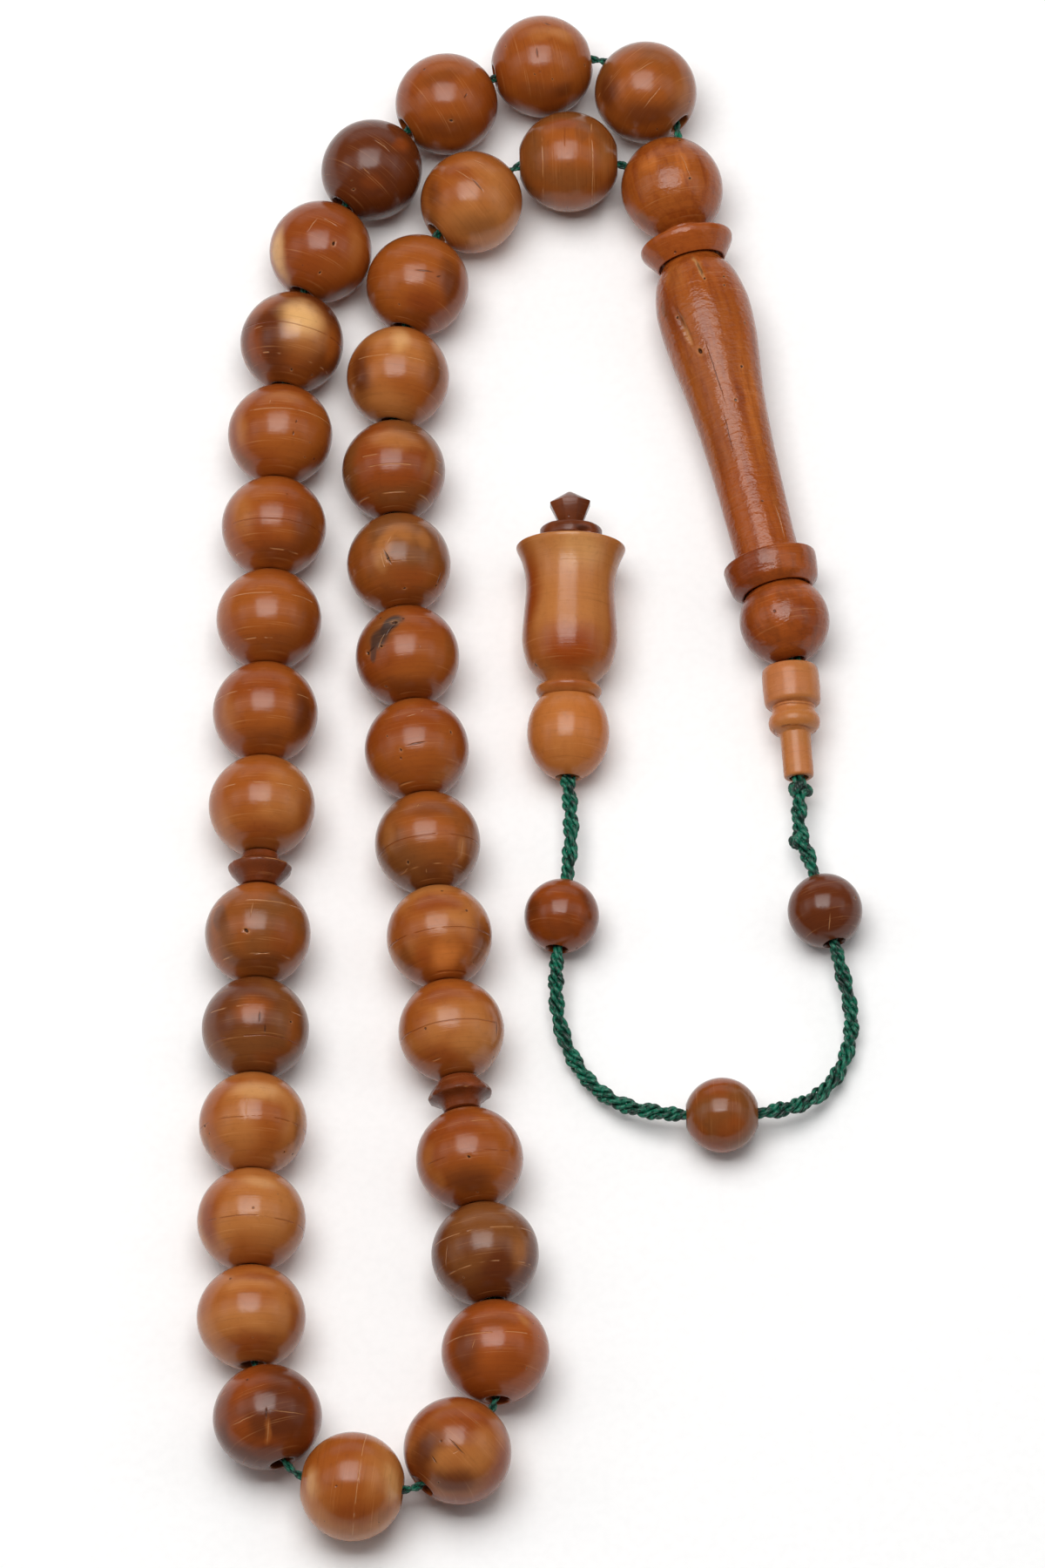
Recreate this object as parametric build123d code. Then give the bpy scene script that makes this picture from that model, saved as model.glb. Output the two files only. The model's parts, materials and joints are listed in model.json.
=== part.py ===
"""Misbaha prayer beads: a closed string of 33 large beads in three sets of eleven, parted by two turned
spacers, hung from a turned leading piece, with a short tail of three small beads and a bell-shaped finial.

Millimetres, +Z up. The string lies on the plane Z = 0, with the origin under the middle of its outline.
"""
from build123d import *
import math
import os

# Large beads of the string
BEAD_RADIUS = 6.0
BEAD_LENGTH = 11.45
BEADS_PER_SET = 11
BORE_RADIUS = 1.2
MOUTH_RADIUS = 1.55
MOUTH_DEPTH = 0.4
BEAD_HEIGHT = BEAD_RADIUS

# Spacers between the sets
SPACER_LENGTH = 4.0
SPACER_RIM_RADIUS = 3.8

# Gaps along the string
TIGHT_GAP = 0.12
BEND_GAP = 1.0
SPACER_GAP = 0.12

# Cords
LOOP_CORD_RADIUS = 0.55
TAIL_CORD_RADIUS = 0.8
RUN_SHARE = 0.45
CORD_BORE_RADIUS = 1.1

# Leading piece: the centre of its head and of its lower ball
HEAD_CENTRE = Vector(16.4, 72.3, 5.95)
LOWER_BALL_CENTRE = Vector(29.2, 17.9, 5.45)
HEAD_RADIUS = 5.95
HEAD_HALF_LENGTH = 6.2
LOWER_BALL_RADIUS = 5.2
SPIGOT_RADIUS = 2.0
SOCKET_RADIUS = 2.05

# Tip of the leading piece: its top and its mouth
TIP_TOP = Vector(29.75, 12.2, 5.2)
TIP_MOUTH = Vector(30.75, -1.3, 4.6)

# Finial: the mouth where its cord enters, and the point of its knob
FINIAL_MOUTH = Vector(4.1, -1.2, 4.43)
FINIAL_APEX = Vector(4.6, 33.55, 6.81)
FINIAL_BALL_RADIUS = 4.75
FINIAL_BALL_CENTRE = 5.46
BELL_CAVITY_RADIUS = 2.6
STOPPER_SPIGOT_RADIUS = 2.5

# Small beads of the tail
SMALL_BEAD_RADIUS = 4.3
SMALL_BEAD_LENGTH = 8.2
SMALL_BORE_RADIUS = 1.15

# Route of the string's cord, out of the head, round the beads and back into the head
LOOP_POINTS = [
    (16.4, 75.0), (17.6, 78.6), (16.3, 82.6), (10.2, 88.2), (6.3, 89.4), (-4.7, 87.0),
    (-15.2, 80.0), (-22.5, 69.9), (-27.2, 58.6), (-29.0, 46.5), (-30.3, 23.0), (-31.3, -14.0),
    (-31.9, -50.0), (-31.9, -72.9), (-28.8, -84.2), (-24.9, -87.4), (-15.0, -88.4), (-11.2, -86.9),
    (-5.0, -79.8), (-3.6, -75.6), (-4.7, -63.6), (-8.2, -41.5), (-13.2, 0.0), (-15.9, 30.0),
    (-16.3, 43.4), (-14.9, 54.9), (-12.2, 64.8), (-9.6, 68.6), (-2.9, 74.7), (1.0, 76.3),
    (9.6, 75.9), (12.9, 74.4), (15.6, 72.4),
]
FIRST_MOUTH = 5.5

# Route of the tail's cord, from the top of the tip's bore to the finial's mouth
TAIL_POINTS = [
    (29.75, 12.2, 5.2), (30.35, 4.1, 4.85), (30.85, -3.5, 4.45), (30.6, -7.6, 4.3), (31.9, -11.1, 4.3),
    (35.3, -23.9, 4.3), (37.1, -31.3, 2.1), (34.3, -38.6, 2.1), (28.4, -42.3, 4.3), (14.9, -42.6, 4.3),
    (7.6, -39.6, 2.1), (3.1, -32.2, 2.1), (2.5, -24.7, 4.3), (4.3, -11.6, 4.3), (4.6, -6.0, 4.3),
    (4.1, -1.2, 4.43),
]
SMALL_BEADS = {"right": (4, 5), "bottom": (8, 9), "left": (12, 13)}


def turned(outline):
    """Solid of revolution about Z from (radius, height) points, closed along the axis."""
    points = [(0, outline[0][1])] + list(outline) + [(0, outline[-1][1])]
    face = make_face(Polyline(*[(r, 0, z) for r, z in points], close=True))
    return revolve(face, axis=Axis.Z)


def turned_curve(start, curve, end):
    """Solid of revolution whose side is a smooth curve between two plain end outlines."""
    side = Spline(*[(r, 0, z) for r, z in curve])
    lower = Polyline(*[(r, 0, z) for r, z in [curve[-1]] + list(end) + [(0, end[-1][1])]])
    upper = Polyline(*[(r, 0, z) for r, z in [(0, start[0][1])] + list(start) + [curve[0]]])
    axis = Line((0, 0, end[-1][1]), (0, 0, start[0][1]))
    return revolve(make_face([upper, side, lower, axis]), axis=Axis.Z)


def rod(radius, low, high):
    """Cylinder about Z between two heights."""
    return Pos(0, 0, low) * Cylinder(radius, high - low, align=(Align.CENTER, Align.CENTER, Align.MIN))


def ellipsoid(radius, half_length):
    """Ellipsoid of revolution about Z."""
    return scale(Sphere(radius), by=(1, 1, half_length / radius))


def placed(shape, origin, direction):
    """Shape moved so that its own Z axis runs along direction from origin."""
    return Plane(origin=origin, z_dir=direction).location * shape


def drilled_ball(radius, length, bore, mouth):
    """Ball flattened at both holes, with countersunk mouths."""
    ball = Sphere(radius) & Cylinder(radius + 1, length)
    ball -= Cylinder(bore, length + 1)
    for side in (1, -1):
        sink = Cone(bore, mouth, MOUTH_DEPTH, align=(Align.CENTER, Align.CENTER, Align.MAX))
        sink = Pos(0, 0, length / 2) * sink
        ball -= sink if side == 1 else mirror(sink, about=Plane.XY)
    return ball


def corner_radii(points):
    """Radius at each corner that takes up the same share of its shorter run."""
    radii = []
    for before, corner, after in zip(points, points[1:], points[2:]):
        arriving = corner - before
        leaving = after - corner
        half_turn = math.radians(arriving.get_angle(leaving)) / 2
        radii.append(RUN_SHARE * min(arriving.length, leaving.length) / math.tan(half_turn))
    return radii


def cord_route(points):
    """Straight runs joined by tangent arcs."""
    corners = [Vector(*point) for point in points]
    radii = corner_radii(corners)
    print("corner radii:", [round(radius, 1) for radius in radii])
    return FilletPolyline(*corners, radius=radii)


def cord_tube(route, radius):
    """Round tube along a route."""
    section = Plane(origin=route @ 0, z_dir=route % 0) * Circle(radius)
    tube = sweep(section, path=route)
    print("cord length", round(route.length, 2), "volume ratio",
          round(tube.volume / (math.pi * radius ** 2 * route.length), 4))
    return tube


def seat_on(route, start, length):
    """Centre, direction and far end of a piece of this length strung from a point of the route."""
    near = route.position_at(start, position_mode=PositionMode.LENGTH)
    end = start + length
    for _ in range(4):
        far = route.position_at(end, position_mode=PositionMode.LENGTH)
        end += length - (far - near).length
    middle = route.position_at((start + end) / 2, position_mode=PositionMode.LENGTH)
    centre = ((near + far) * 0.5 + middle) * 0.5
    return centre, (far - near).normalized(), end


def spacing(kinds, turn):
    """Distance between the centres of two neighbours whose bores differ by a turn in radians."""
    if "spacer" in kinds:
        return (BEAD_LENGTH + SPACER_LENGTH) / 2 + SPACER_GAP
    flat_angle = math.acos(BEAD_LENGTH / 2 / BEAD_RADIUS)
    touching = 2 * BEAD_RADIUS * math.cos(max(0, flat_angle - turn / 2))
    return touching + TIGHT_GAP + BEND_GAP * math.sin(turn / 2)


def string_seats(route, kinds):
    """Seat of each piece of the string, one against the next, as (kind, centre, direction)."""
    lengths = {"bead": BEAD_LENGTH, "spacer": SPACER_LENGTH}
    seats = []
    start = FIRST_MOUTH
    for kind in kinds:
        centre, direction, end = seat_on(route, start, lengths[kind])
        for _ in range(6 if seats else 0):
            last_kind, last_centre, last_direction = seats[-1]
            turn = math.radians(direction.get_angle(last_direction))
            start += spacing((kind, last_kind), turn) - (centre - last_centre).length
            centre, direction, end = seat_on(route, start, lengths[kind])
        seats.append((kind, centre, direction))
        start = end + TIGHT_GAP
    print("cord left after the last bead:", round(route.length - end, 2))
    return seats


def make_spacer():
    """Thin-rimmed turned spacer with a hub towards the bead before it."""
    half = SPACER_LENGTH / 2
    outline = [
        (1.95, -half), (2.05, -half + 1.3), (2.5, -half + 1.55), (SPACER_RIM_RADIUS, -half + 1.7),
        (3.45, -half + 2.7), (2.1, half),
    ]
    return turned(outline) - Cylinder(BORE_RADIUS, SPACER_LENGTH + 1)


def make_leading_piece():
    """Head, collar, shank, disc and lower ball, stacked along Z from the head's centre."""
    ball_height = (LOWER_BALL_CENTRE - HEAD_CENTRE).length
    bore = rod(CORD_BORE_RADIUS, 1, 70)
    head = ellipsoid(HEAD_RADIUS, HEAD_HALF_LENGTH) & rod(7, -7, 5.0)
    head += rod(3.75, 4.4, 6.85)
    head -= rod(SOCKET_RADIUS, 3.0, 7)
    head -= Sphere(2.1)
    collar = turned([(4.3, 6.9), (5.3, 6.95), (5.48, 7.35), (5.2, 8.0), (3.95, 9.85), (3.8, 9.85), (2.6, 9.1)])
    collar -= rod(SOCKET_RADIUS, 6, 11)
    swell = [
        (3.3, 9.85), (4.63, 11.77), (5.5, 16.2), (5.26, 20.6), (4.69, 25.0), (4.11, 31.6), (3.78, 40.3),
        (3.65, 48.25),
    ]
    shank = turned_curve([(SPIGOT_RADIUS, 3.1), (SPIGOT_RADIUS, 9.15), (2.5, 9.15)], swell,
                         [(SPIGOT_RADIUS, 48.25), (SPIGOT_RADIUS, 54.5)])
    disc = turned([(5.3, 48.3), (5.46, 48.45), (5.06, 51.3), (4.1, 52.25), (3.9, 52.25), (3.3, 51.7)])
    disc -= rod(SOCKET_RADIUS, 48, 53)
    ball = Pos(0, 0, ball_height) * Sphere(LOWER_BALL_RADIUS) & rod(6, 51.8, 62)
    ball -= rod(SOCKET_RADIUS, 50, 54.6)
    pieces = {"imame_head": head, "imame_collar": collar, "imame_shank": shank, "imame_disc": disc,
              "imame_ball": ball}
    return {name: piece - bore for name, piece in pieces.items()}


def make_tip():
    """Tip with a plain drum, a groove, a bead ring and a slim tube, along Z from its top."""
    length = (TIP_MOUTH - TIP_TOP).length
    outline = [
        (2.7, 0), (3.15, 0.35), (3.3, 1.1), (3.3, 3.2), (3.15, 4.6), (2.6, 4.75), (2.55, 5.7), (2.75, 6.1),
        (2.95, 6.6), (2.95, 7.2), (2.6, 7.9), (1.78, 8.1), (1.7, length - 0.2), (1.55, length),
    ]
    return turned(outline) - rod(CORD_BORE_RADIUS, -1, length + 1)


def make_finial():
    """Ball, ring, bell and stopper, along Z from the cord's mouth."""
    height = (FINIAL_APEX - FINIAL_MOUTH).length
    ball = Pos(0, 0, FINIAL_BALL_CENTRE) * ellipsoid(FINIAL_BALL_RADIUS, 5.7) & rod(6, 0, 9.5)
    ball -= rod(CORD_BORE_RADIUS, -1, 11)
    ring = turned([(2.95, 9.55), (3.15, 9.6), (3.8, 10.75), (3.7, 10.9), (2.5, 11.05)])
    ring -= rod(CORD_BORE_RADIUS, 9, 12)
    side = [
        (2.7, 11.4), (4.0, 12.7), (4.82, 13.75), (5.38, 15.85), (5.5, 17.4), (5.28, 20.0), (5.12, 22.5),
        (5.22, 24.3), (5.7, 26.2), (6.33, 27.75),
    ]
    bell = turned_curve([(2.6, 11.1)], side, [(6.3, 27.95), (3.0, 28.8)])
    bell -= rod(BELL_CAVITY_RADIUS, 15.0, 30)
    bell -= rod(CORD_BORE_RADIUS, 10, 16)
    disc = turned([(3.4, 28.9), (3.65, 29.05), (3.6, 30.2), (3.3, 30.4)])
    disc -= rod(0.85, 28, 31)
    disc += rod(STOPPER_SPIGOT_RADIUS, 25.8, 29.0) - rod(0.85, 25, 30)
    ring_low = Plane.XY.offset(30.45) * RegularPolygon(1.25, 8)
    ring_wide = Plane.XY.offset(33.35) * RegularPolygon(2.55, 8)
    knob = loft([ring_low, ring_wide])
    knob += loft([ring_wide, Plane.XY.offset(height) * RegularPolygon(0.25, 8)])
    knob += rod(0.8, 27.0, 30.6)
    return {"finial_ball": ball, "finial_ring": ring, "finial_bell": bell, "finial_disc": disc,
            "finial_knob": knob}


def make_finial_knot():
    """Cord end inside the finial, knotted in the bell's cavity."""
    return rod(TAIL_CORD_RADIUS, 0.3, 16.4) + Pos(0, 0, 17.2) * Sphere(2.0)


def main():
    os.makedirs("parts", exist_ok=True)
    parts = {}

    loop = cord_route([(x, y, BEAD_HEIGHT) for x, y in LOOP_POINTS])
    parts["loop_cord"] = cord_tube(loop, LOOP_CORD_RADIUS)
    set_of_beads = ["bead"] * BEADS_PER_SET
    seats = string_seats(loop, set_of_beads + ["spacer"] + set_of_beads + ["spacer"] + set_of_beads)
    shapes = {
        "bead": drilled_ball(BEAD_RADIUS, BEAD_LENGTH, BORE_RADIUS, MOUTH_RADIUS),
        "spacer": make_spacer(),
    }
    counts = {"bead": 0, "spacer": 0}
    for kind, centre, direction in seats:
        counts[kind] += 1
        name = f"bead_{counts[kind]:02d}" if kind == "bead" else f"spacer_{counts[kind]}"
        parts[name] = placed(shapes[kind], centre, direction)
        print(name, [round(v, 3) for v in centre], [round(v, 4) for v in direction])

    leading_direction = (LOWER_BALL_CENTRE - HEAD_CENTRE).normalized()
    for name, piece in make_leading_piece().items():
        parts[name] = placed(piece, HEAD_CENTRE, leading_direction)
    for start, end in ((loop @ 0, Vector(17.6, 78.6, BEAD_HEIGHT)), (loop @ 1, Vector(9.6, 75.9, BEAD_HEIGHT))):
        hole = placed(rod(CORD_BORE_RADIUS, -2.5, 8), start, (end - start).normalized())
        parts["imame_head"] -= hole
    parts["imame_tip"] = placed(make_tip(), TIP_TOP, (TIP_MOUTH - TIP_TOP).normalized())
    parts["core_cord"] = placed(rod(TAIL_CORD_RADIUS, 1.95, 60.5), HEAD_CENTRE, leading_direction)
    parts["head_knot"] = Pos(HEAD_CENTRE) * Sphere(1.9)

    tail = cord_route(TAIL_POINTS)
    parts["tail_cord"] = cord_tube(tail, TAIL_CORD_RADIUS)
    small = drilled_ball(SMALL_BEAD_RADIUS, SMALL_BEAD_LENGTH, SMALL_BORE_RADIUS, SMALL_BORE_RADIUS + 0.2)
    corners = [Vector(*point) for point in TAIL_POINTS]
    for side, (before, after) in SMALL_BEADS.items():
        middle = (corners[before] + corners[after]) * 0.5
        direction = (corners[after] - corners[before]).normalized()
        parts[f"tail_bead_{side}"] = placed(small, middle, direction)
        print("tail bead", side, [round(v, 3) for v in middle], [round(v, 4) for v in direction])

    finial_direction = (FINIAL_APEX - FINIAL_MOUTH).normalized()
    for name, piece in make_finial().items():
        parts[name] = placed(piece, FINIAL_MOUTH, finial_direction)
    parts["finial_knot"] = placed(make_finial_knot(), FINIAL_MOUTH, finial_direction)

    for name, shape in parts.items():
        export_step(shape, f"parts/{name}.step")


if __name__ == "__main__":
    main()
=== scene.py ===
"""Misbaha prayer beads: turned nut beads on a green cord, a leading piece, a tail and a bell finial."""
import json
import math
from functools import partial

import bmesh
import bpy
from bpy.props import FloatProperty, FloatVectorProperty, PointerProperty
from mathutils import Matrix, Vector, noise


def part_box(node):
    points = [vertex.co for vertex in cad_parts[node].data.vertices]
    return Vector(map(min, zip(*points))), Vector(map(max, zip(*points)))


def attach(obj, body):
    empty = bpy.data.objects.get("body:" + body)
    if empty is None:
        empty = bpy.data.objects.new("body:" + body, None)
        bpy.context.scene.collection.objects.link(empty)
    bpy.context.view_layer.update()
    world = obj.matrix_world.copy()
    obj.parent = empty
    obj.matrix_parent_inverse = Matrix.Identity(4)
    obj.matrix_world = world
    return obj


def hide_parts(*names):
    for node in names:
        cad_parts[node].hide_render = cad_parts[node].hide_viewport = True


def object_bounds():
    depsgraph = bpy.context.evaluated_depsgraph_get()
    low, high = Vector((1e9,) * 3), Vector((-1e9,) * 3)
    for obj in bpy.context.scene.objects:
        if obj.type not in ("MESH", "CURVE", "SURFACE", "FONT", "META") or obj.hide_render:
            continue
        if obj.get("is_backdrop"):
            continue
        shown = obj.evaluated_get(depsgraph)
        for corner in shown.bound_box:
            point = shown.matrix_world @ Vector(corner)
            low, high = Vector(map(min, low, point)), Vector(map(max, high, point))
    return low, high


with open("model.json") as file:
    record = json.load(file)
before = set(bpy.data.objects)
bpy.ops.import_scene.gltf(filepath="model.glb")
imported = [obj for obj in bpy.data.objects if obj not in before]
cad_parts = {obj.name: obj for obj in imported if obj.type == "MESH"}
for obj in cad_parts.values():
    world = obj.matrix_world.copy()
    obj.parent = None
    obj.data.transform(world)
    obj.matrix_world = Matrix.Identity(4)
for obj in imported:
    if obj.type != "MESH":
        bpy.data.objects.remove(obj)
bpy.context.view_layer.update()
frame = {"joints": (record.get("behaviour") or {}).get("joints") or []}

bl_info = {
    "name": "Misbaha prayer beads",
    "version": (1, 0, 0),
    "blender": (4, 5, 0),
    "location": "View3D > Sidebar > Misbaha",
    "description": "Builds a string of turned prayer beads with its leading piece, tail and finial",
    "category": "Object",
}

MM = 0.001
JOINTS = {joint["name"]: joint for joint in frame["joints"]}

# The face of the beads as they lie: what is right, up and outwards for someone sitting before them
SEAT_ELEVATION = math.radians(68.5)
RIGHT = Vector((1, 0, 0))
UP = Vector((0, math.sin(SEAT_ELEVATION), math.cos(SEAT_ELEVATION)))
OUT = Vector((0, -math.cos(SEAT_ELEVATION), math.sin(SEAT_ELEVATION)))
CAMERA_AIM = Vector((-0.0011, -0.00255, 0.006))
CAMERA_DISTANCE = 1.5025

# Routes of the two cords, in metres
LOOP_HEIGHT = 6.0 * MM
LOOP_ROUTE = [
    (x * MM, y * MM, LOOP_HEIGHT)
    for x, y in [
        (16.4, 75.0), (17.6, 78.6), (16.3, 82.6), (10.2, 88.2), (6.3, 89.4), (-4.7, 87.0),
        (-15.2, 80.0), (-22.5, 69.9), (-27.2, 58.6), (-29.0, 46.5), (-30.3, 23.0), (-31.3, -14.0),
        (-31.9, -50.0), (-31.9, -72.9), (-28.8, -84.2), (-24.9, -87.4), (-15.0, -88.4), (-11.2, -86.9),
        (-5.0, -79.8), (-3.6, -75.6), (-4.7, -63.6), (-8.2, -41.5), (-13.2, 0.0), (-15.9, 30.0),
        (-16.3, 43.4), (-14.9, 54.9), (-12.2, 64.8), (-9.6, 68.6), (-2.9, 74.7), (1.0, 76.3),
        (9.6, 75.9), (12.9, 74.4), (15.6, 72.4),
    ]
]
TAIL_ROUTE = [
    (x * MM, y * MM, z * MM)
    for x, y, z in [
        (29.75, 12.2, 5.2), (30.35, 4.1, 4.85), (30.85, -3.5, 4.45), (30.6, -7.6, 4.3), (31.9, -11.1, 4.3),
        (35.3, -23.9, 4.3), (37.1, -31.3, 2.1), (34.3, -38.6, 2.1), (28.4, -42.3, 4.3), (14.9, -42.6, 4.3),
        (7.6, -39.6, 2.1), (3.1, -32.2, 2.1), (2.5, -24.7, 4.3), (4.3, -11.6, 4.3), (4.6, -6.0, 4.3),
        (4.1, -1.2, 4.43),
    ]
]
# Knots on the tail's cord: how far along it, their size and how far they sit to the right
TAIL_KNOTS = [
    (14.9 * MM, 1.1 * MM, 0.1 * MM),
    (21.2 * MM, 0.8 * MM, -0.45 * MM),
]


def dye(red, green, blue):
    """Linear colour of everyday 0 to 255 values."""
    return tuple(((c / 255 + 0.055) / 1.055) ** 2.4 for c in (red, green, blue))


def tone(text, red, green, blue):
    """A colour that a user can change."""
    return FloatVectorProperty(name=text, description=f"Colour: {text.lower()}", subtype="COLOR",
                               size=3, min=0, max=1, default=dye(red, green, blue))


def length(text, description, default):
    """A length that a user can change."""
    return FloatProperty(name=text, description=description, default=default, min=0, unit="LENGTH")


def half_height(node):
    """Half the height of a node's box."""
    low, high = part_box(node)
    return (high.z - low.z) / 2


class MisbahaSizes(bpy.types.PropertyGroup):
    bead_radius: length("Bead radius", "Radius of a large bead", half_height("bead_07"))
    bead_length: length("Bead length", "Length of a large bead along its bore", 11.45 * MM)
    bore_radius: length("Bore radius", "Radius of the hole through a bead", 1.2 * MM)
    mouth_radius: length("Mouth radius", "Radius of the worn mouth of a bead's hole", 1.42 * MM)
    small_radius: length("Small bead radius", "Radius of a tail bead", half_height("tail_bead_bottom"))
    small_length: length("Small bead length", "Length of a tail bead along its bore", 8.2 * MM)
    hand_wobble: length("Hand wobble", "How far a bead strays from a true ball", 0.05 * MM)
    loop_cord: length("String thickness", "Diameter of the string's cord", 1.1 * MM)
    tail_cord: length("Tail cord thickness", "Diameter of the tail's cord", 1.6 * MM)
    loop_lay: length("String lay", "Length of one turn of the string's two plies", 3.4 * MM)
    tail_lay: length("Tail lay", "Length of one turn of the tail's two plies", 6.0 * MM)


class MisbahaColours(bpy.types.PropertyGroup):
    chestnut: tone("Chestnut nut", 96, 44, 16)
    russet: tone("Russet nut", 138, 64, 19)
    amber: tone("Amber nut", 154, 80, 27)
    honey: tone("Honey nut", 178, 111, 56)
    olive: tone("Olive nut", 122, 70, 31)
    cream: tone("Cream heart of the nut", 218, 166, 106)
    glow: tone("Orange heart of the nut", 204, 118, 52)
    smoke: tone("Grey-brown scar", 62, 44, 36)
    pit: tone("Bottom of pores and cracks", 48, 22, 12)
    scratch: tone("Pale scratch", 212, 150, 96)
    leading: tone("Leading piece", 156, 76, 25)
    leading_dark: tone("Leading piece, dark streaks", 124, 52, 15)
    tip: tone("Tip", 184, 112, 64)
    finial: tone("Finial", 186, 106, 46)
    finial_dark: tone("Finial, darker growth", 132, 58, 16)
    # This tone also paints the shade down the bell's left and right flanks.
    bell_deep_and_side_shade: tone("Finial, deep orange belly", 142, 60, 10)
    small: tone("Tail bead", 98, 46, 22)
    stopper: tone("Stopper", 116, 58, 30)
    spacer: tone("Spacer", 122, 58, 26)
    cord: tone("Cord", 8, 108, 82)
    cord_dark: tone("Cord, shaded fibres", 1, 34, 26)


def sizes():
    return bpy.context.scene.misbaha_sizes


def colour(name):
    """One of the colours, with full alpha."""
    return (*getattr(bpy.context.scene.misbaha_colours, name), 1.0)


# Materials

class Recipe:
    """One material's nodes. Its coordinates are the piece's own place and its place on the lathe."""

    def __init__(self, name):
        self.material = bpy.data.materials.new(name)
        self.material.use_nodes = True
        self.tree = self.material.node_tree
        self.shader = self.tree.nodes["Principled BSDF"]
        self.place = self.add("ShaderNodeTexCoord").outputs["Object"]
        self.lathe = self.add("ShaderNodeAttribute", attribute_name="lathe").outputs["Vector"]

    def add(self, kind, inputs=(), **settings):
        node = self.tree.nodes.new(kind)
        for key, value in settings.items():
            setattr(node, key, value)
        for key, value in dict(inputs).items():
            if isinstance(value, bpy.types.NodeSocket):
                self.tree.links.new(value, node.inputs[key])
            else:
                node.inputs[key].default_value = value
        return node

    def math(self, operation, first, second=0.0):
        return self.add("ShaderNodeMath", {0: first, 1: second}, operation=operation).outputs[0]

    def between(self, value, at_zero, at_one):
        """A value from 0 to 1, moved to run between two others."""
        inputs = {0: value, 1: at_one - at_zero, 2: at_zero}
        return self.add("ShaderNodeMath", inputs, operation="MULTIPLY_ADD").outputs[0]

    def scaled(self, vector, factors):
        node = self.add("ShaderNodeVectorMath", {0: vector, 1: factors}, operation="MULTIPLY")
        return node.outputs[0]

    def noise(self, vector, scale, detail=2.0, roughness=0.5):
        node = self.add("ShaderNodeTexNoise", {"Vector": vector, "Scale": scale, "Detail": detail,
                                               "Roughness": roughness})
        return node.outputs[0]

    def fade(self, value, low, high):
        """0 at low, 1 at high, with a soft run between."""
        return self.add("ShaderNodeMapRange", {0: value, 1: low, 2: high},
                        interpolation_type="SMOOTHSTEP").outputs[0]

    def tint(self, amount, under, over):
        node = self.add("ShaderNodeMix", {0: amount, 6: under, 7: over}, data_type="RGBA")
        return node.outputs[2]

    def ragged(self, scale, reach):
        """The piece's place, pushed about by noise, so that an edge drawn with it is uneven."""
        cloud = self.add("ShaderNodeTexNoise", {"Vector": self.place, "Scale": scale, "Detail": 2.0})
        centred = self.add("ShaderNodeVectorMath", {0: cloud.outputs["Color"], 1: (0.5, 0.5, 0.5)},
                           operation="SUBTRACT").outputs[0]
        pushed = self.scaled(centred, (reach, reach, reach))
        return self.add("ShaderNodeVectorMath", {0: self.place, 1: pushed}, operation="ADD").outputs[0]

    def spot(self, vector, mark, core=0.0):
        """1 in the middle of a mark, 0 past its edge."""
        mapped = self.add("ShaderNodeMapping", {"Vector": vector, "Location": mark.centre,
                                                "Rotation": mark.turn.to_euler(), "Scale": mark.size},
                          vector_type="TEXTURE").outputs[0]
        reach = self.add("ShaderNodeVectorMath", {0: mapped}, operation="LENGTH").outputs["Value"]
        return self.fade(reach, 1.0, core)

    def bump(self, height, distance, strength=1.0):
        """Adds relief, on top of what there is already."""
        inputs = {"Height": height, "Distance": distance, "Strength": strength}
        normal = self.shader.inputs["Normal"]
        if normal.is_linked:
            inputs["Normal"] = normal.links[0].from_socket
        node = self.add("ShaderNodeBump", inputs)
        self.tree.links.new(node.outputs[0], normal)

    def finish(self, base, roughness, specular):
        self.tree.links.new(base, self.shader.inputs["Base Color"])
        self.tree.links.new(roughness, self.shader.inputs["Roughness"])
        self.shader.inputs["Specular IOR Level"].default_value = specular
        return self.material


class Mark:
    """A patch, scratch or pit on a surface: its middle, its own axes and its half sizes, in metres."""

    def __init__(self, centre, out, along, size):
        self.centre = centre
        across = out.cross(along).normalized()
        self.out = out
        self.turn = Matrix((across.cross(out).normalized(), across, out)).transposed()
        self.size = Vector(size)

    def inside(self, point):
        """How far out a point is, 0 in the middle and 1 at the edge."""
        local = self.turn.transposed() @ (point - self.centre)
        return Vector(a / b for a, b in zip(local, self.size)).length


def face_direction(right, up):
    """Direction from a ball's middle to a place on its face, given in radii."""
    return right * RIGHT + up * UP + math.sqrt(max(0.0, 1 - right * right - up * up)) * OUT


def ball_mark(centre, radius, right, up, half_length, half_width, angle, depth=1.2 * MM):
    """A mark on the face of a ball."""
    out = face_direction(right, up)
    turn = math.radians(angle)
    along = math.cos(turn) * RIGHT + math.sin(turn) * UP
    along = (along - along.dot(out) * out).normalized()
    return Mark(centre + out * radius, out, along, (half_length, half_width, depth))


SCRATCH_WIDTH = 0.09 * MM
PATCH_DEPTH = 4.5 * MM
STREAKED = ("leading", "amber", "leading_dark")


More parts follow.
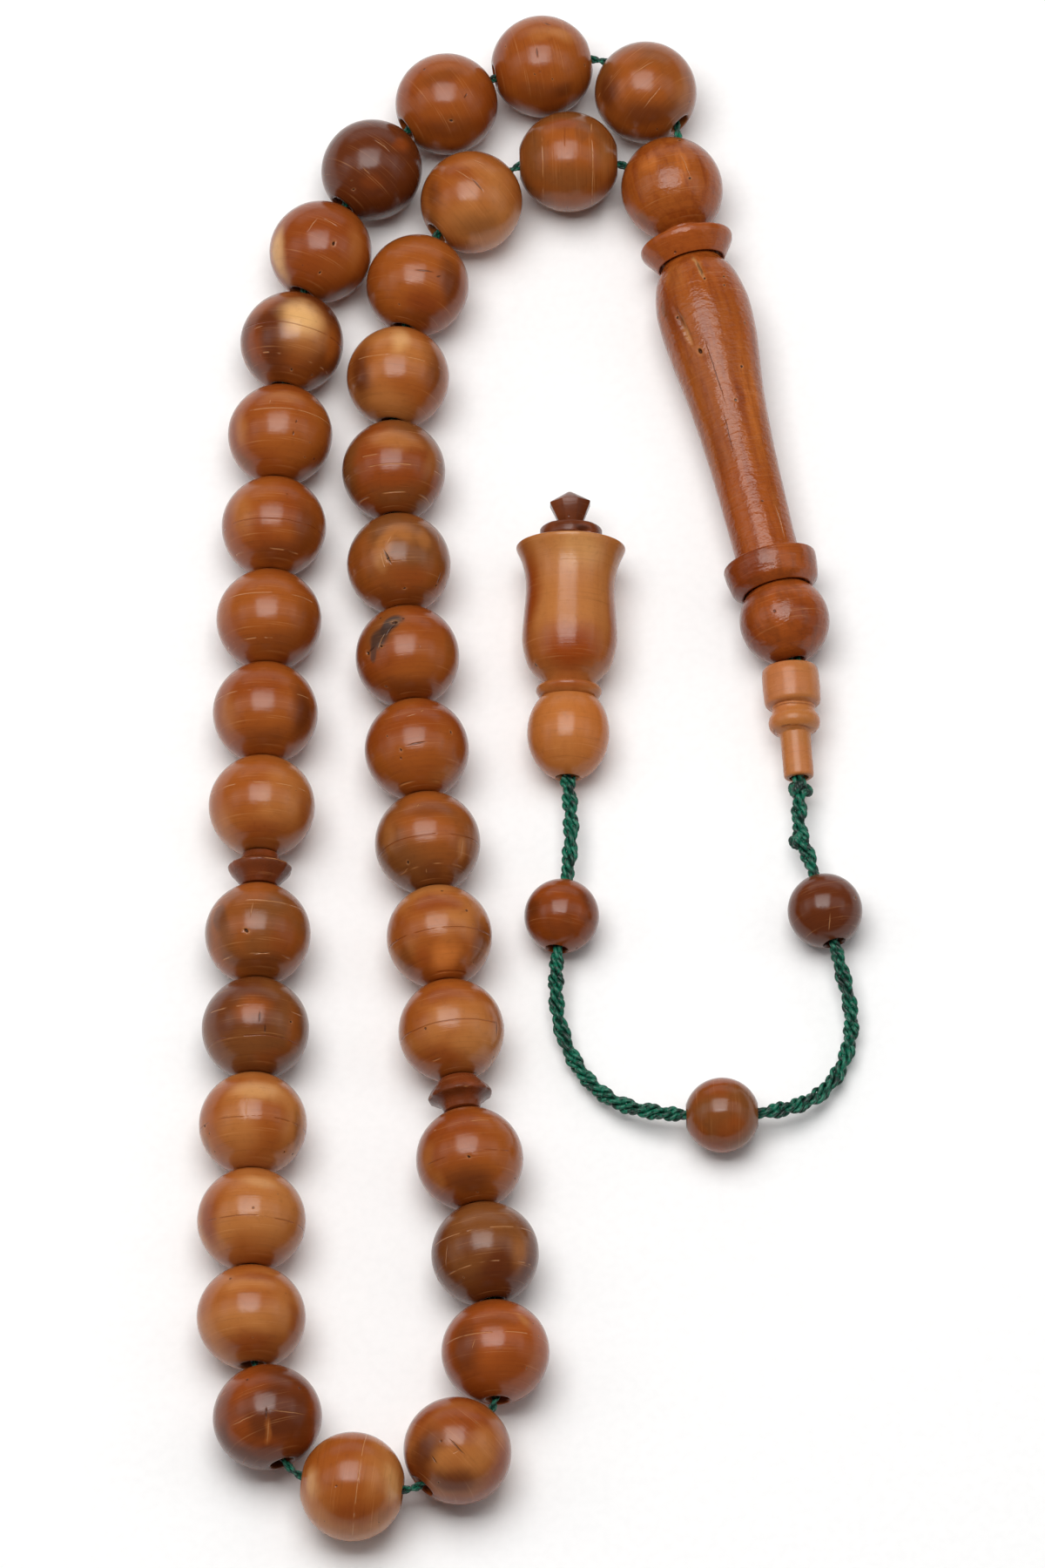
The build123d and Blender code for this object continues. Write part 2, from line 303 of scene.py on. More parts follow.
def nut_material(name, tones, growth, lines=(), patches=(), scratches=(), pits=(), streaks=0.0, gloss=0.2,
                 chatter=0.0):
    """Polished nut: two tones in slow clouds, lathe lines round the bore, pores, patches and scratches."""
    recipe = Recipe(name)
    base = recipe.tint(recipe.fade(recipe.noise(recipe.place, growth, 2.0), 0.36, 0.66),
                       colour(tones[0]), colour(tones[1]))
    soft_place = recipe.ragged(260.0, 2.0 * MM)
    for mark, patch_tone, strength in patches:
        core = 0.5 if patch_tone == "smoke" else 0.2
        amount = recipe.math("MULTIPLY", recipe.spot(soft_place, mark, core), strength)
        base = recipe.tint(amount, base, colour(patch_tone))
    if streaks:
        fibre = recipe.noise(recipe.scaled(recipe.lathe, (0.85, 0.85, 0.07)), 1.0, 4.0, 0.6)
        amount = recipe.math("MULTIPLY", recipe.fade(fibre, 0.42, 0.66), streaks)
        base = recipe.tint(amount, base, colour(tones[2]))
    turning = recipe.noise(recipe.scaled(recipe.lathe, (0.12, 0.12, 5.5)), 1.0, 3.0, 0.65)
    faint = recipe.math("MULTIPLY", recipe.fade(turning, 0.52, 0.8), 0.22)
    base = recipe.tint(faint, base, colour("pit"))
    pale = recipe.math("MULTIPLY", recipe.fade(turning, 0.42, 0.2), 0.3)
    base = recipe.tint(pale, base, colour("scratch"))
    mottle = recipe.noise(recipe.place, 1400.0, 3.0, 0.6)
    base = recipe.tint(recipe.math("MULTIPLY", recipe.fade(mottle, 0.5, 0.8), 0.14), base, colour("pit"))

    fine_place = recipe.ragged(900.0, 0.22 * MM)
    height = recipe.math("MULTIPLY", turning, 0.35)
    axial = recipe.add("ShaderNodeSeparateXYZ", {0: recipe.lathe}).outputs["Z"]
    wander = recipe.math("MULTIPLY", recipe.noise(recipe.place, 180.0, 1.0), 0.5)
    axial = recipe.math("ADD", axial, wander)
    for offset, shade, broken in lines:
        off_line = recipe.math("ABSOLUTE", recipe.math("SUBTRACT", axial, offset + 0.25))
        line = recipe.fade(off_line, 0.1, 0.02)
        gaps = recipe.noise(recipe.place, 420.0 + 35.0 * offset, 2.0)
        line = recipe.math("MULTIPLY", line, recipe.fade(gaps, 0.34 + 0.22 * broken, 0.44 + 0.22 * broken))
        strength = recipe.math("MULTIPLY", line, 0.45)
        base = recipe.tint(strength, base, colour("scratch" if shade > 0 else "leading_dark"))
        height = recipe.math("SUBTRACT", height, line)
    for mark, shade in scratches:
        line = recipe.spot(fine_place, mark, 0.35)
        base = recipe.tint(recipe.math("MULTIPLY", line, 0.4 if shade > 0 else 0.65), base,
                           colour("scratch" if shade > 0 else "pit"))
        height = recipe.math("SUBTRACT", height, line)
    for pit in pits:
        halo = Mark(pit.centre, pit.out, pit.turn.col[0], pit.size * 2.4)
        pale_edge = recipe.math("MULTIPLY", recipe.spot(fine_place, halo), 0.3)
        base = recipe.tint(pale_edge, base, colour("scratch"))
        hole = recipe.spot(fine_place, pit, 0.55)
        base = recipe.tint(recipe.math("MULTIPLY", hole, 0.9), base, colour("pit"))
        height = recipe.math("SUBTRACT", height, hole)
    pores = recipe.add("ShaderNodeTexVoronoi", {"Vector": recipe.ragged(2200.0, 0.12 * MM), "Scale": 420.0})
    rare = recipe.fade(recipe.noise(recipe.place, 230.0, 1.0), 0.56, 0.62)
    speck = recipe.math("MULTIPLY", recipe.fade(pores.outputs["Distance"], 0.09, 0.04), rare)
    base = recipe.tint(recipe.math("MULTIPLY", speck, 0.7), base, colour("pit"))
    height = recipe.math("SUBTRACT", height, speck)
    recipe.bump(height, 0.045 * MM)
    recipe.bump(recipe.noise(recipe.place, 520.0, 2.0), 0.05 * MM, 0.5)
    if chatter:
        recipe.bump(recipe.noise(recipe.scaled(recipe.lathe, (0.9, 0.9, 1.7)), 1.0, 2.0, 0.6), chatter)
    dull = recipe.noise(recipe.place, 700.0, 2.0)
    return recipe.finish(base, recipe.between(dull, gloss - 0.05, gloss + 0.05), specular=0.34)


def cord_material(name):
    """Twisted silk: fine slanting fibres with a satin sheen."""
    recipe = Recipe(name)
    fibres = recipe.noise(recipe.scaled(recipe.place, (1.0, 0.45, 1.0)), 5200.0, 2.0, 0.6)
    cloud = recipe.noise(recipe.place, 900.0, 2.0)
    # The dark fibre colour laid where the noise is low is painted shade among the fibres.
    base = recipe.tint(recipe.fade(recipe.math("MULTIPLY", fibres, cloud), 0.16, 0.34),
                       colour("cord_dark"), colour("cord"))
    recipe.bump(fibres, 0.05 * MM, 0.8)
    return recipe.finish(base, recipe.between(fibres, 0.34, 0.59), specular=0.5)


# Meshes

def keep_place(bm):
    """Writes each corner's place on the lathe, in millimetres, as an attribute."""
    layer = bm.verts.layers.float_vector.new("lathe")
    for vert in bm.verts:
        vert[layer] = vert.co


def turned(outline, steps, edge, sharp=32.0):
    """Shape turned from (radius, height) points in millimetres, with its corners softened.
    An outline that starts and ends off the axis is closed, so that the bore goes right through."""
    bm = bmesh.new()
    verts = [bm.verts.new((radius, 0, height)) for radius, height in outline]
    edges = [bm.edges.new(pair) for pair in zip(verts, verts[1:])]
    if outline[0][0] > 0:
        edges.append(bm.edges.new((verts[-1], verts[0])))
    bmesh.ops.spin(bm, geom=verts + edges, axis=(0, 0, 1), cent=(0, 0, 0), angle=math.tau, steps=steps,
                   use_merge=True)
    bmesh.ops.remove_doubles(bm, verts=bm.verts, dist=1e-5)
    bmesh.ops.recalc_face_normals(bm, faces=bm.faces)
    if edge:
        corners = [e for e in bm.edges if len(e.link_faces) == 2
                   and e.calc_face_angle(0) > math.radians(sharp)]
        bmesh.ops.bevel(bm, geom=corners, offset=edge, offset_type="OFFSET", affect="EDGES", segments=3,
                        profile=0.5, material=-1, clamp_overlap=True)
    return bm


def placed(outline, matrix, steps=96, edge=0.07):
    """A turned shape, moved to its place in the frame."""
    bm = turned(outline, steps, edge)
    keep_place(bm)
    bmesh.ops.transform(bm, matrix=matrix, verts=bm.verts)
    return bm


def arc(radius, half_length, centre, start, end, steps):
    """Points of an ellipse round the axis, from one height to another, as (radius, height)."""
    first = math.acos(max(-1, min(1, (start - centre) / half_length)))
    last = math.acos(max(-1, min(1, (end - centre) / half_length)))
    angles = [first + (last - first) * i / steps for i in range(steps + 1)]
    return [(radius * math.sin(a), centre + half_length * math.cos(a)) for a in angles]


def smooth_side(points, steps=7):
    """Smooth curve through (radius, height) points."""
    ends = [points[0]] + list(points) + [points[-1]]
    curve = []
    for before, start, end, after in zip(ends, ends[1:], ends[2:], ends[3:]):
        for i in range(steps):
            t = i / steps
            curve.append(tuple(0.5 * (2 * b + (c - a) * t + (2 * a - 5 * b + 4 * c - d) * t * t
                                      + (3 * b - a - 3 * c + d) * t ** 3)
                               for a, b, c, d in zip(before, start, end, after)))
    return curve + [points[-1]]


def bead_outline(radius, long, bore, mouth):
    """Closed outline of a drilled ball whose mouths are worn round."""
    half = long / 2
    lip = math.sqrt(max(0.01, radius * radius - half * half))
    sink = 0.45
    side = arc(radius, radius, 0.0, half - 0.02, -half + 0.02, 46)
    top = [(bore, half - sink), (bore + 0.12, half - sink / 3), (mouth, half - 0.03)]
    if lip > mouth + 0.08:
        top.append(((lip + mouth) / 2, half))
    bottom = [(r, -h) for r, h in reversed(top)]
    return top + side + bottom + [(bore, 0.0)]


def dent(bm, mark, depth):
    """Presses a mark into the surface, after making the mesh finer there."""
    near = [e for e in bm.edges if mark.inside((e.verts[0].co + e.verts[1].co) / 2) < 1.5]
    if near:
        bmesh.ops.subdivide_edges(bm, edges=near, cuts=2, use_grid_fill=True)
    for vert in bm.verts:
        reach = mark.inside(vert.co)
        if reach < 1:
            vert.co -= mark.out * depth * (1 - reach * reach) ** 2


def facet(angle, sides):
    """Where the rim of a flat-sided disc lies at an angle, as a share of its radius."""
    return math.cos(math.pi / sides) / math.cos((angle % (math.tau / sides)) - math.pi / sides)


def lathe_to_frame(origin, axis, facing=OUT):
    """Matrix that takes millimetres on the lathe to metres in the frame, its X towards the face."""
    z = axis.normalized()
    x = (facing - facing.dot(z) * z).normalized()
    turn = Matrix((x, z.cross(x), z)).transposed()
    return Matrix.Translation(origin) @ turn.to_4x4() @ Matrix.Scale(MM, 4)


def add_piece(name, bm, body, node, material, sharp=50.0):
    """Makes the finished object, rides it on its body and hides the CAD node it stands in for."""
    for edge in bm.edges:
        edge.smooth = len(edge.link_faces) != 2 or edge.calc_face_angle(0) < math.radians(sharp)
    for face in bm.faces:
        face.smooth = True
    mesh = bpy.data.meshes.new(name)
    bm.to_mesh(mesh)
    bm.free()
    piece = bpy.data.objects.new(name, mesh)
    bpy.context.scene.collection.objects.link(piece)
    mesh.materials.append(material)
    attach(piece, body)
    if node:
        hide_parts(node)
    return piece


def box_centre(node):
    """Middle of a node's box."""
    low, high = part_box(node)
    return (low + high) / 2


# Cords

def smooth_line(name, route):
    """Points read from the one smooth curve that a cord's route controls."""
    curve = bpy.data.curves.new(name, "CURVE")
    curve.dimensions = "3D"
    curve.resolution_u = 16
    spline = curve.splines.new("NURBS")
    spline.points.add(len(route) - 1)
    for control, point in zip(spline.points, route):
        control.co = (*point, 1.0)
    spline.order_u = 3
    spline.use_endpoint_u = True
    holder = bpy.data.objects.new(name, curve)
    mesh = bpy.data.meshes.new_from_object(holder)
    points = [vert.co.copy() for vert in mesh.vertices]
    bpy.data.objects.remove(holder)
    bpy.data.curves.remove(curve)
    bpy.data.meshes.remove(mesh)
    return points


def even_steps(points, step):
    """The same line with its points evenly spaced."""
    spaced = [points[0]]
    left = step
    for start, end in zip(points, points[1:]):
        run = (end - start).length
        done = 0.0
        while run - done > left:
            done += left
            spaced.append(start.lerp(end, done / run))
            left = step
        left -= run - done
    return spaced + [points[-1]]


# In a bead the plies are drawn in to this share, up to this far from its middle, and then open out again
TIGHT_SHARE = 0.55
TIGHT_REACH = 4.8 * MM
TIGHT_RUN = 1.4 * MM


def yarn_lines(points, ply_offset, yarn_offset, lay, yarns, plies=2, uneven=0.18, tight=()):
    """Centre lines of every yarn of a cord: yarns laid round their ply, and plies round the cord.
    The cord is drawn tighter round the places given as tight."""
    step = (points[1] - points[0]).length
    tangent = (points[1] - points[0]).normalized()
    normal = tangent.orthogonal().normalized()
    lines = [[] for _ in range(plies * yarns)]
    for i, point in enumerate(points):
        ahead = points[min(i + 1, len(points) - 1)] - points[max(i - 1, 0)]
        bend = tangent.rotation_difference(ahead.normalized())
        tangent = ahead.normalized()
        normal = bend @ normal
        side = tangent.cross(normal)
        turn = math.tau * i * step / lay
        turn += 1.6 * noise.noise(point * 130.0)
        nearest = min(((point - centre).length for centre in tight), default=1.0)
        widening = max(0.0, min(1.0, (nearest - TIGHT_REACH) / TIGHT_RUN))
        squeeze = TIGHT_SHARE + (1 - TIGHT_SHARE) * widening
        for ply in range(plies):
            angle = turn + math.tau * ply / plies
            swell = squeeze * (1 + uneven * noise.noise(point * 420.0 + Vector((9.0 * ply, 0, 0))))
            middle = point + ply_offset * swell * (math.cos(angle) * normal + math.sin(angle) * side)
            for yarn in range(yarns):
                twist = math.tau * yarn / yarns - 1.9 * turn
                off_middle = min(1.0, squeeze * 1.3) * yarn_offset
                spoke = math.cos(twist) * normal + math.sin(twist) * side
                lines[ply * yarns + yarn].append(middle + off_middle * spoke)
    return lines


def yarn_mesh(name, lines, radius, resolution=1):
    """Round yarns along their lines, as one mesh."""
    curve = bpy.data.curves.new(name, "CURVE")
    curve.dimensions = "3D"
    curve.bevel_depth = radius
    curve.bevel_resolution = resolution
    curve.use_fill_caps = True
    for line in lines:
        spline = curve.splines.new("POLY")
        spline.points.add(len(line) - 1)
        for control, point in zip(spline.points, line):
            control.co = (*point, 1.0)
    holder = bpy.data.objects.new(name, curve)
    mesh = bpy.data.meshes.new_from_object(holder)
    mesh.name = name
    bpy.data.objects.remove(holder)
    bpy.data.curves.remove(curve)
    for polygon in mesh.polygons:
        polygon.use_smooth = True
    return mesh


def add_yarns(name, lines, radius, body, node, material):
    """A piece of cord made of its yarns."""
    mesh = yarn_mesh(name, lines, radius)
    mesh.materials.clear()
    mesh.materials.append(material)
    piece = bpy.data.objects.new(name, mesh)
    bpy.context.scene.collection.objects.link(piece)
    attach(piece, body)
    if node:
        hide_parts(node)
    return piece


def knot_line(origin, axis, size, turns=120):
    """A simple overhand knot drawn tight, as a closed line round an axis."""
    matrix = lathe_to_frame(origin, axis, Vector((0.3, 0.2, 1)))
    line = []
    for i in range(turns + 1):
        t = math.tau * i / turns
        x = math.sin(t) + 2 * math.sin(2 * t)
        y = math.cos(t) - 2 * math.cos(2 * t)
        z = -1.4 * math.sin(3 * t)
        line.append(matrix @ (Vector((x, y, z)) * size / MM / 3))
    return line


class MISBAHA_OT_cords(bpy.types.Operator):
    """Make the string's cord and the tail's cord, two plies each, and the knots that hold them"""
    bl_idname = "misbaha.cords"
    bl_label = "Cords"

    def execute(self, context):
        material = cord_material("silk_cord")
        size = sizes()
        loop = smooth_line("loop_line", LOOP_ROUTE)
        lines = yarn_lines(even_steps(loop, 0.22 * MM), 0.25 * MM, 0.12 * MM, size.loop_lay, 3)
        piece = add_yarns("loop_cord_twist", lines, 0.15 * MM, "root", "loop_cord", material)

        tail = smooth_line("tail_line", TAIL_ROUTE)
        lines = yarn_lines(even_steps(tail, 0.16 * MM), 0.34 * MM, 0.38 * MM, size.tail_lay, 3,
                           tight=[box_centre(f"tail_bead_{side}") for side in ("right", "bottom", "left")])
        fine_step = 0.1 * MM
        fine = even_steps(tail, fine_step)
        for along, knot_size, right in TAIL_KNOTS:
            step = round(along / fine_step)
            tied = knot_line(fine[step] + right * RIGHT, fine[step + 4] - fine[step], knot_size)
            lines += yarn_lines(tied, 0.0, 0.2 * MM, 2.6 * MM, 3, plies=1)
        piece = add_yarns("tail_cord_twist", lines, 0.28 * MM, "tail", "tail_cord", material)

        head, core = box_centre("head_knot"), box_centre("core_cord")
        axis = (core - head).normalized()
        reach = (Vector(JOINTS["tail_swing"]["pos_m"]) - head).dot(axis)
        straight = [head + axis * (2 * MM + (reach - 2.25 * MM) * i / 200) for i in range(201)]
        lines = yarn_lines(straight, 0.42 * MM, 0.2 * MM, size.tail_lay, 4)
        add_yarns("core_cord_twist", lines, 0.17 * MM, "root", "core_cord", material)
        tied = knot_line(head, axis, 1.35 * MM)
        add_yarns("head_knot_tied", [tied], 0.5 * MM, "root", "head_knot", material)
        mouth = Vector(JOINTS["finial_swing"]["pos_m"])
        up = Vector(JOINTS["stopper_pull"]["axis"])
        stub = [mouth + up * (0.4 * MM + 16 * MM * i / 80) for i in range(81)]
        lines = yarn_lines(stub, 0.38 * MM, 0.18 * MM, size.tail_lay, 4)
        lines.append(knot_line(mouth + up * 17.2 * MM, up, 1.5 * MM))
        add_yarns("finial_knot_tied", lines, 0.2 * MM, "finial", "finial_knot", material)
        return {"FINISHED"}


# Large beads. A place is given in radii, right and up from the middle of the bead's face as it lies.
# lines: (right, up, 1 pale or -1 dark, how broken). patches: (right, up, half width, half height, angle,
# tone, strength). scratches: (right, up, half length in radii, angle, 1 pale or -1 dark).
# pits: (right, up, size in mm).
# The broad chestnut, russet and olive patches along the bottom (up near -0.5) and on the left and right
# rims (right near ±0.75) darken where the ball turns from the light: painted shade over the nut's own
# tones. The paler patches at those spots, and the dark ones across the top (up near 0.65), are partly the
# nut's own colour and partly painted light and shade.
BEADS = [
    dict(tones=("olive", "amber"), girth=0.997, lines=[(-0.5, 0.5, 1, 0.9)],
         patches=[(-0.4, 0.55, 0.45, 0.4, 30, "amber", 0.7), (0.0, -0.5, 0.9, 0.45, 0, "chestnut", 0.8),
                  (-0.75, 0.0, 0.4, 0.6, 0, "chestnut", 0.95), (0.75, 0.0, 0.3, 0.5, 0, "honey", 0.3)],
         scratches=[(0.12, -0.15, 0.35, 52, 1), (-0.05, 0.45, 0.3, 40, 1)], pits=[(0.22, -0.75, 0.16)]),
    dict(tones=("amber", "russet"), girth=1,
         patches=[(0.35, 0.62, 0.4, 0.25, -20, "honey", 0.8), (0.45, -0.5, 0.35, 0.22, 10, "chestnut", 0.7),
                  (0.0, 0.62, 0.4, 0.3, 0, "honey", 0.5), (0.0, -0.55, 0.6, 0.3, 0, "chestnut", 0.4)],
         scratches=[(0.1, 0.8, 0.1, -48, -1), (-0.1, 0.22, 0.13, 97, -1)],
         pits=[(-0.15, -0.2, 0.14), (0.2, -0.3, 0.12), (0.84, 0.0, 0.16), (-0.72, 0.36, 0.16)]),
    dict(tones=("amber", "russet"), girth=0.997,
         patches=[(-0.1, 0.5, 0.6, 0.35, 10, "chestnut", 0.45), (0.0, -0.55, 0.8, 0.4, 0, "chestnut", 0.6)],
         scratches=[(0.38, 0.12, 0.07, 55, -1)], pits=[(0.1, -0.37, 0.26)]),
    dict(tones=("chestnut", "chestnut"), girth=0.977,
         patches=[(0.62, 0.5, 0.3, 0.25, 40, "russet", 0.8), (0.0, -0.25, 0.35, 0.25, 0, "russet", 0.35)],
         scratches=[(0.22, 0.45, 0.24, -42, 1), (-0.1, -0.06, 0.12, -40, 1)],
         pits=[(-0.35, -0.42, 0.2), (-0.38, -0.25, 0.1)]),
    dict(tones=("russet", "amber"), girth=0.997,
         patches=[(-0.85, -0.1, 0.32, 0.8, 8, "cream", 0.8), (0.75, 0.1, 0.3, 0.6, 0, "honey", 0.4),
                  (0.45, -0.75, 0.45, 0.2, 30, "chestnut", 0.6)],
         scratches=[(-0.15, 0.5, 0.22, 64, 1), (0.2, 0.55, 0.2, -35, 1)],
         pits=[(0.27, 0.13, 0.34), (0.0, -0.44, 0.22)]),
    dict(tones=("chestnut", "amber"), girth=1, lines=[(0.1, 0.32, -1, 0.1), (-0.4, -0.22, 1, 0.9)],
         patches=[(0.3, 0.3, 0.75, 0.85, -20, "honey", 0.8), (0.2, 0.5, 0.62, 0.55, -35, "cream", 1.0),
                  (-0.75, -0.1, 0.35, 0.75, 10, "russet", 0.7), (0.8, -0.1, 0.3, 0.5, -10, "amber", 0.9),
                  (0.0, -0.6, 0.7, 0.35, 0, "chestnut", 0.5)],
         scratches=[(-0.65, 0.28, 0.14, 0, 1)],
         pits=[(0.0, -0.55, 0.2), (-0.6, -0.26, 0.12), (0.4, -0.65, 0.14)]),
    dict(tones=("russet", "amber"), girth=1.01, lines=[(0.0, 0.5, 1, 0.4)],
         patches=[(-0.7, -0.5, 0.35, 0.3, 0, "olive", 0.7), (0.1, 0.75, 0.6, 0.25, 0, "honey", 0.5),
                  (-0.75, 0.1, 0.3, 0.5, 0, "honey", 0.6)],
         scratches=[(0.33, 0.24, 0.05, 72, -1), (0.27, 0.02, 0.05, 85, -1), (-0.18, 0.63, 0.05, 85, 1)],
         pits=[(0.48, -0.44, 0.12), (0.58, -0.16, 0.1)]),
    dict(tones=("amber", "russet"), girth=1.01, lines=[(0.0, 0.15, -1, 0.3), (0.0, -0.42, 1, 0.9)],
         patches=[(-0.62, 0.25, 0.4, 0.7, 15, "honey", 0.55), (0.65, 0.0, 0.5, 0.8, 0, "chestnut", 0.6),
                  (0.05, -0.5, 0.7, 0.4, 0, "chestnut", 0.6)]),
    dict(tones=("amber", "russet"), girth=1.01, lines=[(0.0, 0.52, 1, 0.4), (0.0, -0.35, 1, 1.0)],
         patches=[(0.1, -0.5, 0.9, 0.45, 0, "chestnut", 0.4), (0.7, 0.0, 0.4, 0.6, 0, "chestnut", 0.3)]),
    dict(tones=("russet", "amber"), girth=1.01, lines=[(0.0, 0.46, 1, 0.5)],
         patches=[(0.75, 0.0, 0.42, 0.8, 0, "chestnut", 0.9), (-0.7, 0.0, 0.35, 0.6, 0, "honey", 0.45),
                  (0.05, -0.5, 0.7, 0.4, 0, "chestnut", 0.5)]),
    dict(tones=("amber", "honey"), girth=1.02, lines=[(0.0, 0.46, 1, 0.4)],
         patches=[(0.0, -0.5, 0.7, 0.4, 0, "russet", 0.75), (0.8, 0.0, 0.3, 0.6, 0, "russet", 0.5)],
         pits=[(0.65, 0.3, 0.1)]),
    dict(tones=("amber", "olive"), girth=1.01, lines=[(0.0, -0.35, 1, 0.8), (0.0, 0.66, 1, 0.5)],
         patches=[(-0.72, 0.3, 0.26, 0.42, 10, "smoke", 0.45), (-0.6, -0.2, 0.4, 0.6, 0, "olive", 0.7),
                  (0.5, -0.1, 0.4, 0.6, 0, "russet", 0.5), (0.0, -0.55, 0.8, 0.35, 0, "chestnut", 0.55)],
         scratches=[(-0.1, 0.48, 0.2, 84, 1), (0.1, -0.35, 0.2, 2, 1)], pits=[(-0.2, 0.08, 0.36)]),
    dict(tones=("chestnut", "olive"), girth=1.02, lines=[(0.0, -0.1, -1, 0.3), (0.0, 0.45, 1, 0.8)],
         patches=[(-0.05, 0.4, 0.5, 0.4, 0, "amber", 0.8), (0.3, -0.5, 0.5, 0.3, 0, "russet", 0.4),
                  (0.75, 0.0, 0.3, 0.6, 0, "amber", 0.5), (-0.75, 0.0, 0.3, 0.6, 0, "chestnut", 0.4)],
         scratches=[(0.1, 0.25, 0.13, 84, -1), (0.2, 0.02, 0.1, 88, -1)], pits=[(0.68, 0.15, 0.2)]),
    dict(tones=("honey", "amber"), girth=1.03, lines=[(0.0, 0.17, -1, 0.2)],
         patches=[(-0.3, 0.0, 0.6, 0.8, 0, "honey", 0.8), (-0.85, -0.4, 0.2, 0.3, 0, "olive", 0.6),
                  (0.1, 0.65, 0.7, 0.35, 0, "cream", 0.5), (0.85, -0.1, 0.2, 0.6, 0, "olive", 0.5)],
         scratches=[(-0.1, 0.35, 0.2, 86, 1)],
         pits=[(-0.88, -0.02, 0.24), (-0.8, -0.16, 0.2), (0.6, -0.5, 0.14), (0.75, -0.55, 0.16),
               (-0.7, -0.5, 0.14)]),
    dict(tones=("honey", "amber"), girth=1.03,
         patches=[(0.0, -0.4, 0.7, 0.4, 0, "amber", 0.4), (0.2, 0.75, 0.6, 0.25, 0, "cream", 0.35),
                  (-0.78, 0.0, 0.38, 0.7, 0, "russet", 0.95)],
         lines=[(0.0, 0.12, -1, 0.5)], pits=[(0.5, 0.5, 0.1)]),
    dict(tones=("amber", "honey"), girth=1.03,
         patches=[(0.1, 0.8, 0.6, 0.2, 0, "russet", 0.7), (0.0, -0.5, 0.8, 0.4, 0, "russet", 0.85),
                  (0.0, 0.4, 0.8, 0.35, 0, "amber", 0.8), (0.8, 0.0, 0.25, 0.6, 0, "russet", 0.5)],
         pits=[(0.05, -0.33, 0.1)]),
    dict(tones=("chestnut", "russet"), girth=1.03,
         patches=[(0.5, 0.3, 0.5, 0.35, 0, "chestnut", 0.8), (-0.5, -0.2, 0.4, 0.5, 0, "russet", 0.9),
                  (0.0, -0.5, 0.6, 0.4, 0, "russet", 0.8), (0.03, -0.2, 0.1, 0.4, 0, "glow", 0.35),
                  (0.0, -0.6, 0.5, 0.25, 0, "chestnut", 0.6)],
         scratches=[(0.03, -0.22, 0.3, 88, 1), (0.0, 0.12, 0.14, 88, -1), (-0.42, 0.0, 0.36, 22, 1),
                    (0.42, 0.14, 0.44, -3, 1)]),
    dict(tones=("honey", "amber"), girth=1.03, lines=[(0.1, 0.0, 1, 0.3)],
         patches=[(0.0, 0.72, 0.7, 0.3, 0, "russet", 0.5), (0.75, 0.1, 0.3, 0.5, 0, "cream", 0.5),
                  (-0.75, 0.1, 0.3, 0.5, 0, "cream", 0.5),
                  (0.0, -0.45, 0.7, 0.4, 0, "russet", 0.8), (0.6, -0.5, 0.3, 0.3, 0, "olive", 0.4)],
         scratches=[(0.14, 0.2, 0.1, 88, 1)], pits=[(0.5, -0.62, 0.14), (-0.5, -0.6, 0.12)]),
    dict(tones=("russet", "honey"), girth=1.03,
         patches=[(-0.6, 0.0, 0.45, 0.8, -20, "chestnut", 0.95), (0.45, 0.1, 0.5, 0.6, 0, "honey", 0.75),
                  (-0.1, 0.65, 0.6, 0.4, 0, "russet", 0.8), (-0.05, -0.55, 0.8, 0.4, 0, "chestnut", 0.85)],
         scratches=[(0.0, 0.12, 0.26, -45, -1), (-0.42, -0.12, 0.12, -50, -1), (-0.02, 0.03, 0.08, 30, 1)],
         pits=[(-0.35, -0.55, 0.18), (0.8, -0.5, 0.14), (0.35, 0.55, 0.1)]),
    dict(tones=("russet", "leading"), girth=1.02, lines=[(0.0, 0.42, 1, 0.3)],
         patches=[(-0.6, 0.1, 0.5, 0.8, 0, "chestnut", 0.7), (0.0, 0.6, 0.6, 0.3, 0, "chestnut", 0.4),
                  (0.55, 0.6, 0.3, 0.2, -35, "honey", 0.7), (0.72, -0.2, 0.3, 0.5, 0, "amber", 0.6)],
         scratches=[(-0.4, 0.2, 0.12, 75, 1)],
         pits=[(0.58, -0.26, 0.14), (0.8, 0.32, 0.14), (0.7, 0.55, 0.14)]),
    dict(tones=("olive", "chestnut"), girth=1.02, lines=[(0.0, 0.52, 1, 0.1), (0.0, -0.12, 1, 0.5)],
         patches=[(0.65, 0.05, 0.35, 0.6, 0, "honey", 0.5), (-0.3, 0.2, 0.4, 0.4, 0, "chestnut", 0.5),
                  (-0.75, 0.0, 0.3, 0.6, 0, "chestnut", 0.4)],
         scratches=[(-0.72, 0.0, 0.25, 80, 1)],
         pits=[(-0.88, -0.45, 0.24), (-0.6, -0.78, 0.22), (-0.4, -0.4, 0.12)]),
    dict(tones=("amber", "russet"), girth=1.02, lines=[(0.0, 0.17, -1, 0.4), (0.3, 0.75, 1, 0.8)],
         patches=[(0.0, -0.4, 0.7, 0.45, 0, "chestnut", 0.75), (-0.8, 0.0, 0.3, 0.5, 0, "honey", 0.5),
                  (-0.6, -0.4, 0.3, 0.3, 0, "honey", 0.5)],
         pits=[(-0.02, 0.07, 0.26), (0.85, -0.35, 0.16), (0.15, -0.6, 0.12)]),
    dict(tones=("amber", "honey"), girth=1.01, lines=[(0.0, 0.22, -1, 0.2), (0.3, -0.42, 1, 0.9)],
         patches=[(-0.2, -0.5, 0.7, 0.35, 0, "russet", 0.7), (0.65, 0.0, 0.35, 0.5, 0, "honey", 0.6),
                  (-0.2, 0.7, 0.6, 0.3, 0, "russet", 0.8)],
         scratches=[(0.86, 0.05, 0.2, 84, -1)]),
